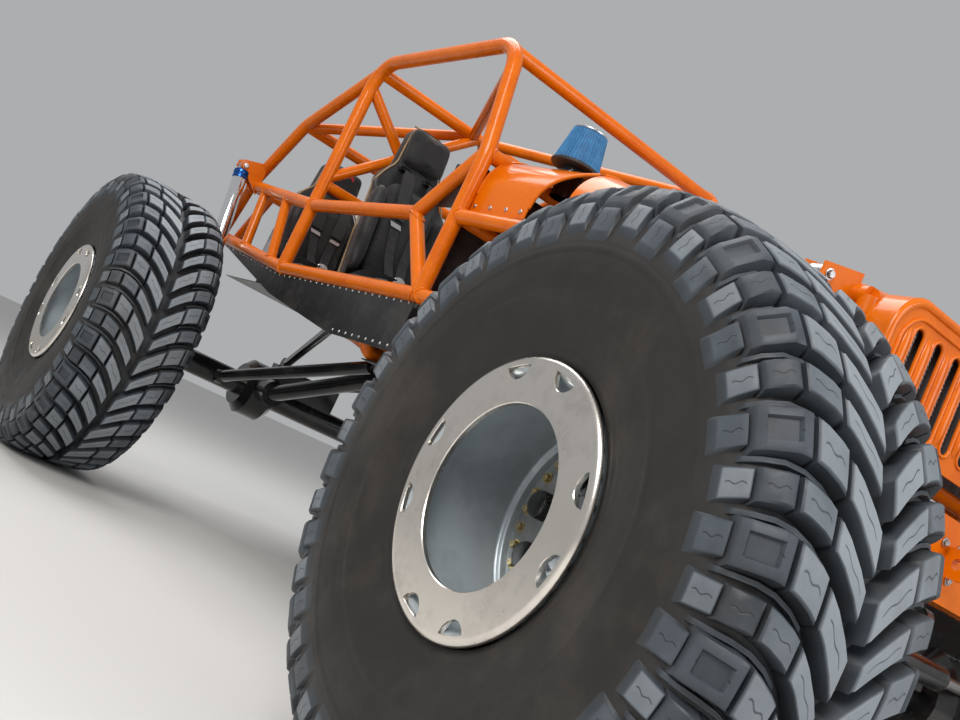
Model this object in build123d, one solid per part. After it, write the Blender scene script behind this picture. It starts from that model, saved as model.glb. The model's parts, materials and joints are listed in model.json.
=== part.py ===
from build123d import *
import os
from math import cos, pi, radians, sin, sqrt, tan

os.makedirs("parts", exist_ok=True)

# A four-seat tube-frame off-road buggy on very large tyres, in millimetres.
# The nose points to -Y, the vehicle's left side is +X, and the floor is at Z 0.
# Y is measured from the middle of the wheelbase.

# Wheels and stance
wheelbase = 3600
track = 2100
tyre_radius = 685
tyre_width = 495
lug_count = 22
lug_width = 76
lug_sweep = 20
lug_inner = 22
lug_crown = 165
tread_depth = 44
lug_edge = 590
sidewall_radius = 500
bead_dish = 48
bead_radius = 254
rim_width = 430
rim_wall = 8
rim_lip = 19
rim_lip_thick = 10
fit_gap = 0.3
ring_od = 566
ring_opening = 368
ring_thick = 12
disc_inset = 40
disc_thick = 12
brake_radius = 170
brake_thick = 20

# Steering
kingpin_inset = 205
arm_reach = 150
arm_inset = 55
rod_rise = 60
rod_od = 28
ram_od = 66
ram_length = 420
ram_centre_x = -170
spindle_od = 90

# Tube frame: heights are above the lower rail's centre line
tube_od = 62
tube_bend = 150
rear_tube_bend = 190
rail_od = 58
brace_od = 52
upright_od = 48
low_z = 1235
mid_rise = 320
node_rise = 580
roof_rise = 1050
bar_rise = 430
frame_half = 595
pillar_y = 10
pillar_lean = 130
cab_length = 1270
door_node_back = 300
rear_bend_back = 540
rear_bend_rise = 750
rear_end_back = 885
rear_end_rise = 410
rear_low_back = 1150
rear_low_rise = 130
nose_half = 430
nose_y = -1720
nose_low_drop = 40
nose_top_rise = 262
bay_y = -1000

# Belly, floor and panels
belly_drop = 225
belly_half = 430
belly_front_y = -100
belly_rear_y = 500
plate = 5
sheet = 3
floor_drop = 85
tunnel_half = 165
tunnel_rise = 190
tunnel_end_y = 455
floor_rear_y = 2000
rear_link_drop = 150
cowl_front_y = -490
cowl_half = 570
cowl_rise = 620
cowl_corner = 170
hood_drop = 300
hood_half = 400
hood_lip = 60
grille_depth = 75
grille_half = 450
grille_top_rise = 305
grille_bottom_drop = 30
grille_corner = 110
grille_slots = 9
slot_width = 38
slot_pitch = 84
slot_height = 225

# Seats
seat_width = 426
seat_x = 276
front_seat_back = 915
rear_seat_back = 735
front_seat_pan = 450
rear_seat_pan = 400
seat_thick = 110
cushion_thick = 110
seat_side_rise = 90
seat_lean = 12
bolster = 42

# Suspension: link and shock points are (x, y from the axle or chassis, z)
axle_tube_od = 115
diff_radius = 140
diff_x = 240
link_od = 56
upper_link_od = 44
rod_end_od = 62
shock_body_od = 72
shock_coil_od = 104
shock_eye_od = 46
shaft_od = 76
coil_turns = 9
coil_wire = 13

# Places worked out from the sizes above
front_y = -wheelbase / 2
rear_y = wheelbase / 2
wheel_x = track / 2
lug_middle = (lug_inner + tyre_width / 2) / 2
lug_reach = lug_width / 2 + (lug_middle - lug_inner) * tan(radians(lug_sweep))
lug_flat = sqrt(tyre_radius**2 - lug_reach**2)
half_pitch = pi / lug_count
axle_z = lug_flat * cos(half_pitch) + lug_reach * sin(half_pitch)
kingpin_x = wheel_x - kingpin_inset
hoop_y = pillar_y + cab_length
mid_z = low_z + mid_rise
node_z = low_z + node_rise
roof_z = low_z + roof_rise
belly_z = low_z - belly_drop
floor_z = low_z - floor_drop
rod_y = front_y - arm_reach
rod_z = axle_z + rod_rise
eye_x = kingpin_x - arm_inset

nodes = {}


def both(shape):
    """A left-hand piece and its mirror image on the right."""
    return [shape, mirror(shape, about=Plane.YZ)]


def joined(shapes):
    """One shape made of all that touch or cross in a list, added one after another."""
    total = shapes[0]
    for shape in shapes[1:]:
        total = total + shape
    return total


def boxed(shapes):
    """Each shape with its bounding box."""
    return [(shape, shape.bounding_box(optimal=False)) for shape in shapes]


def meets(box, other):
    """Whether two boxes meet."""
    return all(a0 <= b1 and b0 <= a1 for a0, a1, b0, b1 in
               zip(box.min, box.max, other.min, other.max))


def coped(shapes, stops):
    """Each shape with all that it would run into cut away, as a welder copes a tube."""
    result = []
    for shape, box in boxed(shapes):
        cutters = [stop for stop, stop_box in stops if meets(box, stop_box)]
        result.append(shape - cutters if cutters else shape)
    return result


frame_stops = []


def weld(name, tubes):
    """A node of the frame: its tubes, coped against those of the nodes before it, in one."""
    nodes[name] = joined(coped(tubes, frame_stops))
    frame_stops.extend(boxed(tubes))


def fitted(name, shapes, neighbours=()):
    """A node whose solids are cut clear of the frame's tubes and of named neighbours."""
    stops = boxed(solid for other in neighbours for solid in nodes[other].solids())
    nodes[name] = joined(coped(shapes, frame_stops + stops))


def tube(points, od=tube_od, bend=tube_bend):
    """A round tube along straight runs, with every corner bent to one radius."""
    if len(points) == 2:
        path = Line(*points)
    else:
        path = FilletPolyline(*points, radius=bend)
    start = Plane(origin=path @ 0, z_dir=path % 0)
    return sweep(start * Circle(od / 2), path=path)


def box_at(x, y, z):
    """A box from three pairs of limits."""
    size = [abs(b - a) for a, b in (x, y, z)]
    middle = [(a + b) / 2 for a, b in (x, y, z)]
    return Pos(*middle) * Box(*size)


def spun(profile):
    """A ring or disc about the X axis from (x, radius) points."""
    face = make_face(Polyline(*[(x, r, 0) for x, r in profile], close=True))
    return revolve(face, Axis.X)


def rod_between(a, b, od):
    """A round bar between two points."""
    return tube([a, b], od=od)


def eye_at(point, od, length, axis):
    """A round eye or bush about a point, along a unit axis."""
    plane = Plane(origin=point, z_dir=axis)
    return extrude(plane * Circle(od / 2), amount=length / 2, both=True)


def along(a, b, share):
    """The point at a share of the way from a to b."""
    return tuple(p + (q - p) * share for p, q in zip(a, b))


# Tube frame

def bend_middle(before, corner, after, bend):
    """The middle of the bend that a tube makes at a corner of its path."""
    middle = Vector(*corner)
    towards = (Vector(*before) - middle).normalized() + (Vector(*after) - middle).normalized()
    half_angle = (Vector(*before) - middle).get_angle(Vector(*after) - middle) / 2
    depth = bend / sin(radians(half_angle)) - bend
    return tuple(middle + towards.normalized() * depth)


pillar_foot = (frame_half, pillar_y, low_z)
pillar_node = (frame_half, pillar_y, node_z)
door_node = (frame_half, pillar_y + door_node_back, mid_z)
roof_front = (frame_half, pillar_y + pillar_lean, roof_z)
roof_rear = (frame_half, hoop_y, roof_z)
hoop_foot = (frame_half, hoop_y, low_z)
rear_bend = (frame_half, hoop_y + rear_bend_back, low_z + rear_bend_rise)
rear_end = (frame_half, hoop_y + rear_end_back, low_z + rear_end_rise)
rear_low = (frame_half, hoop_y + rear_low_back, low_z + rear_low_rise)
header_end = bend_middle(pillar_node, roof_front, roof_rear, tube_bend)
hoop_top = bend_middle(roof_front, roof_rear, hoop_foot, tube_bend)
rear_bend_mid = bend_middle(roof_rear, rear_bend, rear_end, rear_tube_bend)
hoop_mid = (0, hoop_top[1], hoop_top[2])

# Rows are: the points of a tube's path, its outer diameter and the radius of its bends.
side_rows = [
    ([pillar_foot, pillar_node, roof_front, roof_rear, hoop_foot], tube_od, tube_bend),
    ([pillar_foot, hoop_foot, rear_low], rail_od, 200),
    ([pillar_node, door_node, (frame_half, hoop_y, mid_z), rear_end], rail_od, 40),
    ([door_node, pillar_foot], rail_od - 1, 0),
    ([hoop_top, rear_bend, rear_end], rail_od + 1, rear_tube_bend),
]

# Short uprights of the rear bay. Rows are: top behind the hoop, bottom behind the hoop.
upright_rows = [(330, 170), (640, 560), (rear_end_back - 20, rear_end_back + 70)]


def rear_mid_height(back):
    """Height of the middle rail at a distance behind the hoop."""
    return mid_z + (rear_end_rise - mid_rise) * back / rear_end_back


def rear_low_height(back):
    """Height of the lower rail at a distance behind the hoop."""
    return low_z + rear_low_rise * back / rear_low_back


# Shock mounts. The rear top point stands outboard of the side frame on a gusset.
shock_top_back = 800
shock_top_rise = 460
shock_top_out = 110
rear_shock_top = (frame_half + shock_top_out, hoop_y + shock_top_back, low_z + shock_top_rise)
rear_shock_foot = (640, rear_y + 95, axle_z + 85)
front_shock_top = (550, front_y + 150, low_z + 262)
front_shock_foot = (630, front_y + 95, axle_z + 85)
gusset_thick = 8
gusset_gap = 52


def gusset(top, inner_x, height):
    """A pair of triangular plates that carry a shock's upper eye."""
    x, y, z = top
    outline = Polyline((inner_x, z - height * 0.62), (x - 8, z - 26), (x + 26, z - 10),
                       (x + 24, z + 24), (inner_x, z + height * 0.38), close=True)
    face = make_face(outline)
    plates = []
    for side in (-1, 1):
        middle = y + side * (gusset_gap + gusset_thick) / 2
        plane = Plane(origin=(0, middle, 0), x_dir=(1, 0, 0), z_dir=(0, -1, 0))
        plates.append(extrude(plane * face, amount=gusset_thick / 2, both=True))
    return plates


def side_tubes():
    """All tubes in the plane of the left side, with the rear shock's gusset."""
    tubes = [tube(points, od, bend) for points, od, bend in side_rows]
    for top, foot in upright_rows:
        tubes.append(tube([(frame_half, hoop_y + top, rear_mid_height(top)),
                           (frame_half, hoop_y + foot, rear_low_height(foot))], upright_od))
    return tubes + gusset(rear_shock_top, frame_half, 170)


left_tubes = side_tubes()
weld("frame_side_left", left_tubes)
weld("frame_side_right", [mirror(piece, about=Plane.YZ) for piece in left_tubes])


def cross(point, od):
    """A tube across the car at a point of the left side."""
    x, y, z = point
    return tube([(x, y, z), (-x, y, z)], od)


# The plane of the main hoop: top tube, one long diagonal, harness bar, short brace and foot tube
bar_end = (frame_half, hoop_y, low_z + bar_rise)
weld("frame_main_hoop", [
    cross(hoop_top, rail_od),
    cross(bar_end, brace_od - 2),
    cross(hoop_foot, rail_od - 2),
    tube([(-frame_half, hoop_y, roof_z - 110), (frame_half, hoop_y, low_z + 60)], brace_od),
    tube([hoop_mid, (-frame_half, hoop_y, low_z + bar_rise + 30)], brace_od - 1),
])

apex = (brace_od / 2 + 4, hoop_mid[1], hoop_mid[2])
weld("frame_roof", [cross(header_end, rail_od)]
     + both(tube([apex, (header_end[0] - 30, header_end[1], header_end[2])], brace_od)))

rear_low_cross = (frame_half, rear_low[1] - 40, rear_low_height(rear_low_back - 40))
rear_post_inset = 130
rear_post_x = frame_half - rear_post_inset
fuel_cross_back = 760
fuel_cross = (frame_half, hoop_y + fuel_cross_back, rear_low_height(fuel_cross_back))
rear_tubes = [cross(rear_bend_mid, rail_od), cross(rear_end, rail_od - 2)]
rear_tubes += [cross(rear_low_cross, rail_od - 2), cross(fuel_cross, brace_od)]
rear_tubes += both(tube([apex, (rear_bend_mid[0] - 20, rear_bend_mid[1], rear_bend_mid[2])], brace_od))
rear_tubes += both(tube([(rear_post_x, rear_end[1], rear_end[2]),
                         (rear_post_x, rear_low_cross[1], rear_low_cross[2])], upright_od))
weld("frame_rear", rear_tubes)

# Nose frame: lower and upper rails run in from the front pillars to the grille.
low_front = (nose_half, nose_y, low_z - nose_low_drop)
top_front = (nose_half, nose_y, low_z + nose_top_rise)
low_pillar = (frame_half, pillar_y, low_z)
mid_pillar = (frame_half, pillar_y, mid_z)
cradle_half = 300


def on_rail(start, end, y):
    """The point of a straight rail at a given Y."""
    return along(start, end, (y - start[1]) / (end[1] - start[1]))


shock_y = front_shock_top[1]
cradle = on_rail(low_pillar, low_front, bay_y)
nose_tubes = both(tube([low_pillar, low_front], rail_od - 1.5))
nose_tubes += both(tube([mid_pillar, top_front], rail_od - 1))
nose_tubes += both(tube([low_front, top_front], rail_od - 3))
nose_tubes += both(tube([on_rail(low_pillar, low_front, bay_y), on_rail(mid_pillar, top_front, bay_y)],
                        upright_od))
nose_tubes += both(tube([on_rail(mid_pillar, top_front, bay_y - 30),
                         on_rail(low_pillar, low_front, nose_y + 60)], upright_od - 2))
nose_tubes += [cross(low_front, rail_od - 2), cross(top_front, rail_od - 4)]
nose_tubes += [cross(pillar_node, rail_od), cross(mid_pillar, brace_od - 3), cross(low_pillar, brace_od)]
nose_tubes += [tube([cradle, (cradle_half, bay_y, belly_z + 10), (-cradle_half, bay_y, belly_z + 10),
                     (-cradle[0], bay_y, cradle[2])], brace_od - 2, 90)]
for plate_piece in gusset(front_shock_top, on_rail(mid_pillar, top_front, shock_y)[0], 150):
    nose_tubes += both(plate_piece)
weld("frame_front", nose_tubes)

# Belly: four bent hoops under the lower rails and two long rails that carry the links.
# Rows are: y, half width of the flat part and its height.
belly_tubes = []
hoop_inset = 16
rear_link_y = hoop_y - 330
rear_link_z = low_z - rear_link_drop
belly_rows = [(belly_front_y, belly_half, belly_z), (210, belly_half, belly_z),
              (belly_rear_y, belly_half, belly_z), (rear_link_y, belly_half + 90, rear_link_z)]
for y, half, z in belly_rows:
    start = on_rail(low_pillar, low_front, y) if y < pillar_y else (frame_half, y, low_z)
    start = (start[0] - hoop_inset, y, start[2])
    belly_tubes.append(tube([start, (half, y, z), (-half, y, z), (-start[0], y, start[2])], rail_od - 1, 60))
link_x = belly_half - 120
belly_tubes += both(tube([(link_x, belly_front_y, belly_z), (link_x, belly_rear_y, belly_z)], brace_od))
belly_tubes += both(tube([(link_x, rear_link_y, rear_link_z), (link_x, belly_rear_y, belly_z)], brace_od - 2))
weld("frame_floor", belly_tubes)

# Panels under and beside the cab

skid_top = belly_z - (rail_od - 1) / 2
nodes["belly_skid"] = box_at((-belly_half, belly_half), (belly_front_y - 20, belly_rear_y + 20),
                             (skid_top - plate, skid_top))


def side_skirt():
    """The thin black panel that hangs under the left lower rail."""
    tail = rear_low_back - 40
    outline = Polyline((pillar_y, low_z), (pillar_y, belly_z), (belly_rear_y + 60, belly_z),
                       (hoop_y, low_z - 130), (hoop_y + tail, rear_low_height(tail)),
                       (hoop_y, low_z), close=True)
    plane = Plane(origin=(frame_half, 0, 0), x_dir=(0, 1, 0), z_dir=(1, 0, 0))
    return extrude(plane * make_face(outline), amount=sheet)


fitted("side_skirts", both(side_skirt()))

floor_front_y = pillar_y + 40
floor_half = frame_half - 35
hat = Polyline((-floor_half, floor_z), (-tunnel_half, floor_z), (-tunnel_half, floor_z + tunnel_rise),
               (tunnel_half, floor_z + tunnel_rise), (tunnel_half, floor_z), (floor_half, floor_z),
               (floor_half, floor_z + sheet), (tunnel_half + sheet, floor_z + sheet),
               (tunnel_half + sheet, floor_z + tunnel_rise + sheet),
               (-tunnel_half - sheet, floor_z + tunnel_rise + sheet),
               (-tunnel_half - sheet, floor_z + sheet), (-floor_half, floor_z + sheet), close=True)
floor_plane = Plane(origin=(0, floor_front_y, 0), x_dir=(1, 0, 0), z_dir=(0, -1, 0))
footwell = extrude(floor_plane * make_face(hat), amount=-(tunnel_end_y - floor_front_y))
tunnel_wall = box_at((-tunnel_half - sheet, tunnel_half + sheet), (tunnel_end_y - sheet, tunnel_end_y),
                     (floor_z, floor_z + tunnel_rise + sheet))
seat_floor = box_at((-floor_half, floor_half), (tunnel_end_y - sheet, floor_rear_y), (floor_z, floor_z + sheet))
fitted("floor_pan", [footwell, tunnel_wall, seat_floor])

firewall = box_at((-floor_half, floor_half), (floor_front_y - sheet, floor_front_y),
                  (floor_z, node_z - 40))
tunnel_hole = box_at((-tunnel_half, tunnel_half), (0, 100), (floor_z - 1, floor_z + tunnel_rise))
fitted("firewall", [firewall - tunnel_hole], ["floor_pan"])


def arch_face(y, half, base_z, top_z, corner):
    """An upright section across the car with a flat foot and two rounded shoulders."""
    outline = [
        Line((-half, base_z), (-half, top_z - corner)),
        RadiusArc((-half, top_z - corner), (-half + corner, top_z), corner),
        Line((-half + corner, top_z), (half - corner, top_z)),
        RadiusArc((half - corner, top_z), (half, top_z - corner), corner),
        Line((half, top_z - corner), (half, base_z)),
        Line((half, base_z), (-half, base_z)),
    ]
    plane = Plane(origin=(0, y, 0), x_dir=(1, 0, 0), z_dir=(0, -1, 0))
    return plane * make_face(outline)


def further(row, other):
    """A section a little way past the first of two, in line with both."""
    share = 2 / abs(other[0] - row[0])
    return tuple(a + (a - b) * share for a, b in zip(row, other))


def arch_shell(sections, wall):
    """A thin open-bottomed cover lofted through two sections of (y, half, base, top, corner)."""
    first, last = [(y, half - wall, base - 1, top - wall, corner - wall)
                   for y, half, base, top, corner in sections]
    outer = loft([arch_face(*row) for row in sections], ruled=True)
    inner = loft([arch_face(*row) for row in (further(first, last), further(last, first))], ruled=True)
    return outer - inner


cowl_top = low_z + cowl_rise
hood_top = cowl_top - hood_drop
cowl_split_top = cowl_top - 20
cowl = arch_shell([(pillar_y - 5, cowl_half, mid_z + 30, cowl_top, cowl_corner),
                   (cowl_front_y, cowl_half - 45, mid_z + 30, cowl_split_top, cowl_corner)], plate)
side_cut = Pos(0, cowl_front_y - 60, mid_z + 40) * Rot(0, 90, 0) * Cylinder(230, 3 * cowl_half)
filter_x = -(frame_half - 205)
filter_y = -250
filter_base = cowl_top + 5
neck = Pos(filter_x, filter_y, filter_base - 60) * Cylinder(45, 120)
fitted("cowl_panel", [cowl - side_cut - neck])

hood_start = cowl_front_y - 2
hood_base = cowl_split_top - 60 - cowl_corner
hood = arch_shell([(hood_start, cowl_half - 50, hood_base, cowl_split_top, cowl_corner),
                   (nose_y + 20, hood_half, hood_top - hood_lip - 120, hood_top, 110)], plate)
fitted("hood_panel", [hood])


def grille_shell():
    """A dished nose panel with rounded top corners and a row of upright slots."""
    top = low_z + grille_top_rise
    base = low_z - grille_bottom_drop
    face_y = nose_y - rail_od / 2 + 4 - grille_depth
    outer = arch_face(face_y, grille_half, base, top, grille_corner)
    body = extrude(outer, amount=-grille_depth)
    inner = arch_face(face_y + plate, grille_half - plate, base - 1, top - plate, grille_corner - plate)
    body -= extrude(inner, amount=-(grille_depth + 10))
    slot_z = (top + base) / 2 - 15
    for index in range(grille_slots):
        x = (index - (grille_slots - 1) / 2) * slot_pitch
        plane = Plane(origin=(x, face_y, slot_z), x_dir=(0, 0, 1), z_dir=(0, -1, 0))
        body -= extrude(plane * SlotOverall(slot_height, slot_width), amount=20, both=True)
    return body


fitted("grille_shell", [grille_shell()], ["hood_panel"])

# Front bumper: a folded plate beam on two arms from the nose frame
bumper_top = low_z - 170
bumper_base = low_z - 350
bumper_y = nose_y - 330
bumper_half = 420
arm_plate = 10
beam = box_at((-bumper_half, bumper_half), (bumper_y, bumper_y + 70), (bumper_base, bumper_top))
beam -= box_at((-bumper_half - 1, bumper_half + 1), (bumper_y + 8, bumper_y + 71),
               (bumper_base + 8, bumper_top - 8))
bumper = [beam]
for x in (-nose_half + 40, nose_half - 40):
    outline = Polyline((bumper_y + 8, bumper_base + 8), (nose_y + 60, low_z - 110), (nose_y + 60, low_z + 10),
                       (bumper_y + 8, bumper_top - 8), close=True)
    plane = Plane(origin=(x, 0, 0), x_dir=(0, 1, 0), z_dir=(1, 0, 0))
    bumper.append(extrude(plane * make_face(outline), amount=arm_plate / 2, both=True))
tow_hole_r = 13
tow_thick = 20
tow_x = 260
tow_z = (bumper_top + bumper_base) / 2
for x in (-tow_x, tow_x):
    tab = box_at((x - tow_thick / 2, x + tow_thick / 2), (bumper_y - 62, bumper_y), (tow_z - 34, tow_z + 34))
    tow_bore = Pos(x, bumper_y - 34, tow_z) * Rot(0, 90, 0) * Cylinder(tow_hole_r, 2 * tow_thick)
    bumper.append(tab - tow_bore)
fitted("front_bumper", bumper, ["grille_shell"])

# Engine and drive

engine_y = -900
engine_half_length = 290
engine_base = belly_z + 70
engine_top_z = low_z + 250
block = box_at((-205, 205), (engine_y - engine_half_length, engine_y + engine_half_length),
               (engine_base, engine_top_z - 90))
sump = box_at((-120, 120), (engine_y - 240, engine_y + 240), (engine_base - 60, engine_base))
front_cover = Pos(0, engine_y - engine_half_length - 25, engine_base + 150) * Rot(90, 0, 0) * Cylinder(95, 50)
fitted("engine_block", [block, sump, front_cover])

head_lean = 38
head_length = 500
valley_z = engine_top_z - 90


def head():
    """The left bank: a cylinder head with its rounded cover, leaning outward."""
    lean = Pos(150, engine_y, valley_z + 26) * Rot(0, head_lean, 0)
    body = lean * Box(150, head_length, 120)
    cover = lean * Pos(0, 0, 85) * Box(105, head_length - 20, 60)
    cover = fillet(cover.edges().filter_by(Axis.Y), 24)
    return joined([body, cover]) - box_at((-300, 400), (-3000, 0), (0, valley_z))


intake = box_at((-95, 95), (engine_y - 230, engine_y + 230), (valley_z, valley_z + 130))
plenum = Pos(0, engine_y, valley_z + 170) * Rot(90, 0, 0) * Cylinder(72, 430)
fitted("engine_top", both(head()) + [intake, plenum])

header_ports = [-180, -60, 60, 180]
port_z = valley_z + 10
log_x = 392
log_z = low_z + 45
tail_back = 520
tail_rise = 150


def header():
    """The left bank's exhaust: four short bent pipes into one log pipe, which runs down to the rear."""
    log_start = (log_x, engine_y - 215, log_z)
    log_end = (log_x, engine_y + 300, log_z)
    log_tail = (log_x - 15, engine_y + tail_back, belly_z + tail_rise)
    pipes = [tube([log_start, log_end, log_tail], od=60, bend=80)]
    for port in header_ports:
        y = engine_y + port
        pipes.append(tube([(220, y, port_z), (log_x, y, port_z - 20), (log_x, y, log_z)], od=42, bend=45))
    return joined(pipes)


fitted("exhaust_headers", both(header()), ["engine_top", "engine_block"])

gearbox_front = engine_y + engine_half_length
bell = loft([Plane(origin=(0, gearbox_front, engine_base + 150), z_dir=(0, 1, 0)) * Circle(190),
             Plane(origin=(0, gearbox_front + 190, engine_base + 130), z_dir=(0, 1, 0)) * Circle(125)])
case_box = box_at((-115, 115), (gearbox_front + 180, 121), (belly_z + 55, floor_z + 130))
transfer = box_at((-130, 130), (120, 430), (belly_z + 50, floor_z + 110))
fitted("gearbox", [bell, case_box, transfer], ["firewall", "engine_block"])

# Air filter standing on the cowl, with its elbow going down through a hole in it
filter_height = 155
filter_base_r = 92
filter_top_r = 64
cone = loft([Plane(origin=(filter_x, filter_y, filter_base)) * Circle(filter_base_r),
             Plane(origin=(filter_x, filter_y, filter_base + filter_height)) * Circle(filter_top_r)])
fitted("air_filter", [cone, neck])

radiator = box_at((-380, 380), (nose_y - 32, nose_y + 32), (low_front[2] + 5, top_front[2] - 5))
fitted("radiator", [radiator], ["hood_panel"])

cell_base = rear_low_height(fuel_cross_back) + 8
fuel_cell = box_at((-300, 300), (hoop_y + fuel_cross_back + 10, rear_low_cross[1] - 10),
                   (cell_base, cell_base + 210))
fitted("fuel_cell", [fuel_cell])

# Dash and seats

dash_half = frame_half - 15
dash = box_at((-dash_half, dash_half), (pillar_y + 55, pillar_y + 200), (mid_z + 40, node_z - 40))
dash -= box_at((5 - dash_half, dash_half - 5), (pillar_y + 60, pillar_y + 201), (mid_z + 39, node_z - 45))
fitted("dash_panel", [dash], ["cowl_panel", "firewall"])


def seat(back_height, pan_length):
    """A high-backed bucket at the origin: pan, leaning back, wings and headrest, as one solid."""
    half = seat_width / 2
    shoulder = back_height * 0.72
    lean = Pos(0, 0, 60) * Rot(-seat_lean, 0, 0)
    pieces = [
        box_at((-half, half), (-pan_length, seat_thick), (0, cushion_thick)),
        lean * box_at((-half, half), (0, seat_thick), (0, shoulder)),
        lean * box_at((-half * 0.62, half * 0.62), (0, seat_thick), (shoulder - 1, back_height)),
    ]
    for inner, outer in ((half - bolster, half), (-half, bolster - half)):
        pieces.append(box_at((inner, outer), (-pan_length + 40, seat_thick),
                             (cushion_thick - 1, cushion_thick + seat_side_rise)))
        pieces.append(lean * box_at((inner, outer), (-70, 1), (60, back_height * 0.62)))
    return joined(pieces)


seat_base = floor_z + sheet + fit_gap
front_seat_y = hoop_y - 365
rear_seat_y = hoop_y + 440
front_seat = seat(front_seat_back, front_seat_pan)
rear_seat = seat(rear_seat_back, rear_seat_pan)
for row_name, shape, y in (("front", front_seat, front_seat_y), ("rear", rear_seat, rear_seat_y)):
    for side_name, x in (("left", seat_x), ("right", -seat_x)):
        nodes["seat_" + row_name + "_" + side_name] = Pos(x, y, seat_base) * shape

# Steering wheel on a short column ahead of the left front seat
wheel_tilt = 25
hand_centre = (seat_x, pillar_y + 420, mid_z + 20)
hand_radius = 165
column_start = 12.3
column_end = 450
column_axis = (0, cos(radians(wheel_tilt)), sin(radians(wheel_tilt)))
column_plane = Plane(origin=hand_centre, x_dir=(1, 0, 0), z_dir=column_axis)
hand_rim = column_plane * Torus(hand_radius, 14)
hub_disc = column_plane * Pos(0, 0, -6) * Cylinder(48, 12)
spokes = [column_plane * Rot(0, 0, angle) * Pos(hand_radius / 2, 0, -6) * Box(hand_radius, 26, 6)
          for angle in (-30, 90, 210)]
nodes["steering_wheel"] = joined([hand_rim, hub_disc] + spokes)
column = column_plane * Pos(0, 0, -(column_start + column_end) / 2) * Cylinder(22, column_end - column_start)
column -= box_at((0, frame_half), (-frame_half, floor_front_y), (floor_z, node_z))
fitted("steering_column", [column], ["dash_panel"])

# Axles, links, shocks and shafts


def axle_beam(y, centre_x, end_x):
    """Axle tubes with the differential housing, for one axle."""
    beam_tube = rod_between((-end_x, y, axle_z), (end_x, y, axle_z), axle_tube_od)
    housing = Pos(centre_x, y, axle_z) * Rot(0, 90, 0) * Cylinder(diff_radius, 180)
    housing = chamfer(housing.edges(), 34)
    neck_dir = 1 if y < 0 else -1
    pinion = Pos(centre_x, y + neck_dir * 150, axle_z + 25) * Rot(90, 0, 0) * Cylinder(62, 200)
    return [beam_tube, housing, pinion]


def bracket(point, foot, width=70):
    """A tab from an axle tube up to a link or shock pin."""
    x, y, z = point
    fx, fy, fz = foot
    return rod_between((fx, fy, fz), (x, y, z), width * 0.5)


yoke_ear_z = 150
yoke_thick = 28
yoke_radius = 40


def yoke():
    """The left end of the front axle: a web with two ears about the kingpin."""
    x = kingpin_x
    web = box_at((x - 75, x - 50), (front_y - 50, front_y + 50),
                 (axle_z - yoke_ear_z - yoke_thick, axle_z + yoke_ear_z + yoke_thick))
    ears = []
    for side in (-1, 1):
        z = axle_z + side * (yoke_ear_z + yoke_thick / 2)
        ears.append(box_at((x - 60, x), (front_y - yoke_radius, front_y + yoke_radius),
                           (z - yoke_thick / 2, z + yoke_thick / 2)))
        ears.append(Pos(x, front_y, z) * Cylinder(yoke_radius, yoke_thick))
    return [web] + ears


front_lower = ((430, front_y + 95, axle_z - 10), (link_x, belly_front_y - 75, belly_z))
front_upper = ((150, front_y + 20, axle_z + diff_radius + 45), (420, bay_y + 330, low_z - 75))
rear_lower = ((470, rear_y - 95, axle_z - 10), (link_x, belly_rear_y + 75, belly_z - 25))
rear_upper = ((150, rear_y - 20, axle_z + diff_radius + 45), (link_x + 60, rear_link_y + 55, rear_link_z))


def link(ends, od):
    """A suspension link: a round bar with a rod-end ball at each end."""
    a, b = ends
    bar = rod_between(along(a, b, 0.04), along(a, b, 0.96), od)
    ends_solid = [rod_between(along(a, b, 0.0), along(a, b, 0.05), od * 0.6),
                  rod_between(along(a, b, 0.95), b, od * 0.6)]
    balls = [eye_at(p, rod_end_od, 34, (1, 0, 0)) for p in ends]
    return joined([bar] + ends_solid + balls)


front_links = both(link(front_lower, link_od)) + both(link(front_upper, upper_link_od))
rear_links = both(link(rear_lower, link_od)) + both(link(rear_upper, upper_link_od))


def shock(top, foot):
    """A long shock: bright upper body, corrugated spring and two eyes."""
    a = Vector(*top)
    b = Vector(*foot)
    length = (b - a).length
    plane = Plane(origin=top, z_dir=(b - a))
    body_end = length * 0.56
    pieces = [plane * Pos(0, 0, 40 + body_end / 2) * Cylinder(shock_body_od / 2, body_end)]
    coil_start = body_end + 40
    coil_length = length - coil_start - 45
    pitch = coil_length / coil_turns
    rows = [(0, coil_start)]
    for turn in range(coil_turns):
        z = coil_start + turn * pitch
        rows += [(shock_coil_od / 2 - coil_wire, z), (shock_coil_od / 2, z + pitch / 2)]
    rows += [(shock_coil_od / 2 - coil_wire, coil_start + coil_length), (0, coil_start + coil_length)]
    coil_face = make_face(Polyline(*[(r, 0, z) for r, z in rows], close=True))
    pieces.append(plane * revolve(coil_face, Axis.Z))
    pieces.append(plane * Pos(0, 0, length / 2) * Cylinder(13, length))
    pieces.append(eye_at(top, shock_eye_od, gusset_gap - 1, (0, 1, 0)))
    pieces.append(eye_at(foot, shock_eye_od, gusset_gap - 1, (0, 1, 0)))
    return joined(pieces)


front_shocks = both(shock(front_shock_top, front_shock_foot))
rear_shocks = both(shock(rear_shock_top, rear_shock_foot))

shaft_z = belly_z + 95
shaft_front = ((70, 121, shaft_z), (diff_x, front_y + 249, axle_z + 25))
shaft_rear = ((-70, 429, shaft_z), (-diff_x, rear_y - 249, axle_z + 25))
shafts = [rod_between(a, b, shaft_od) for a, b in (shaft_front, shaft_rear)]

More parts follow.
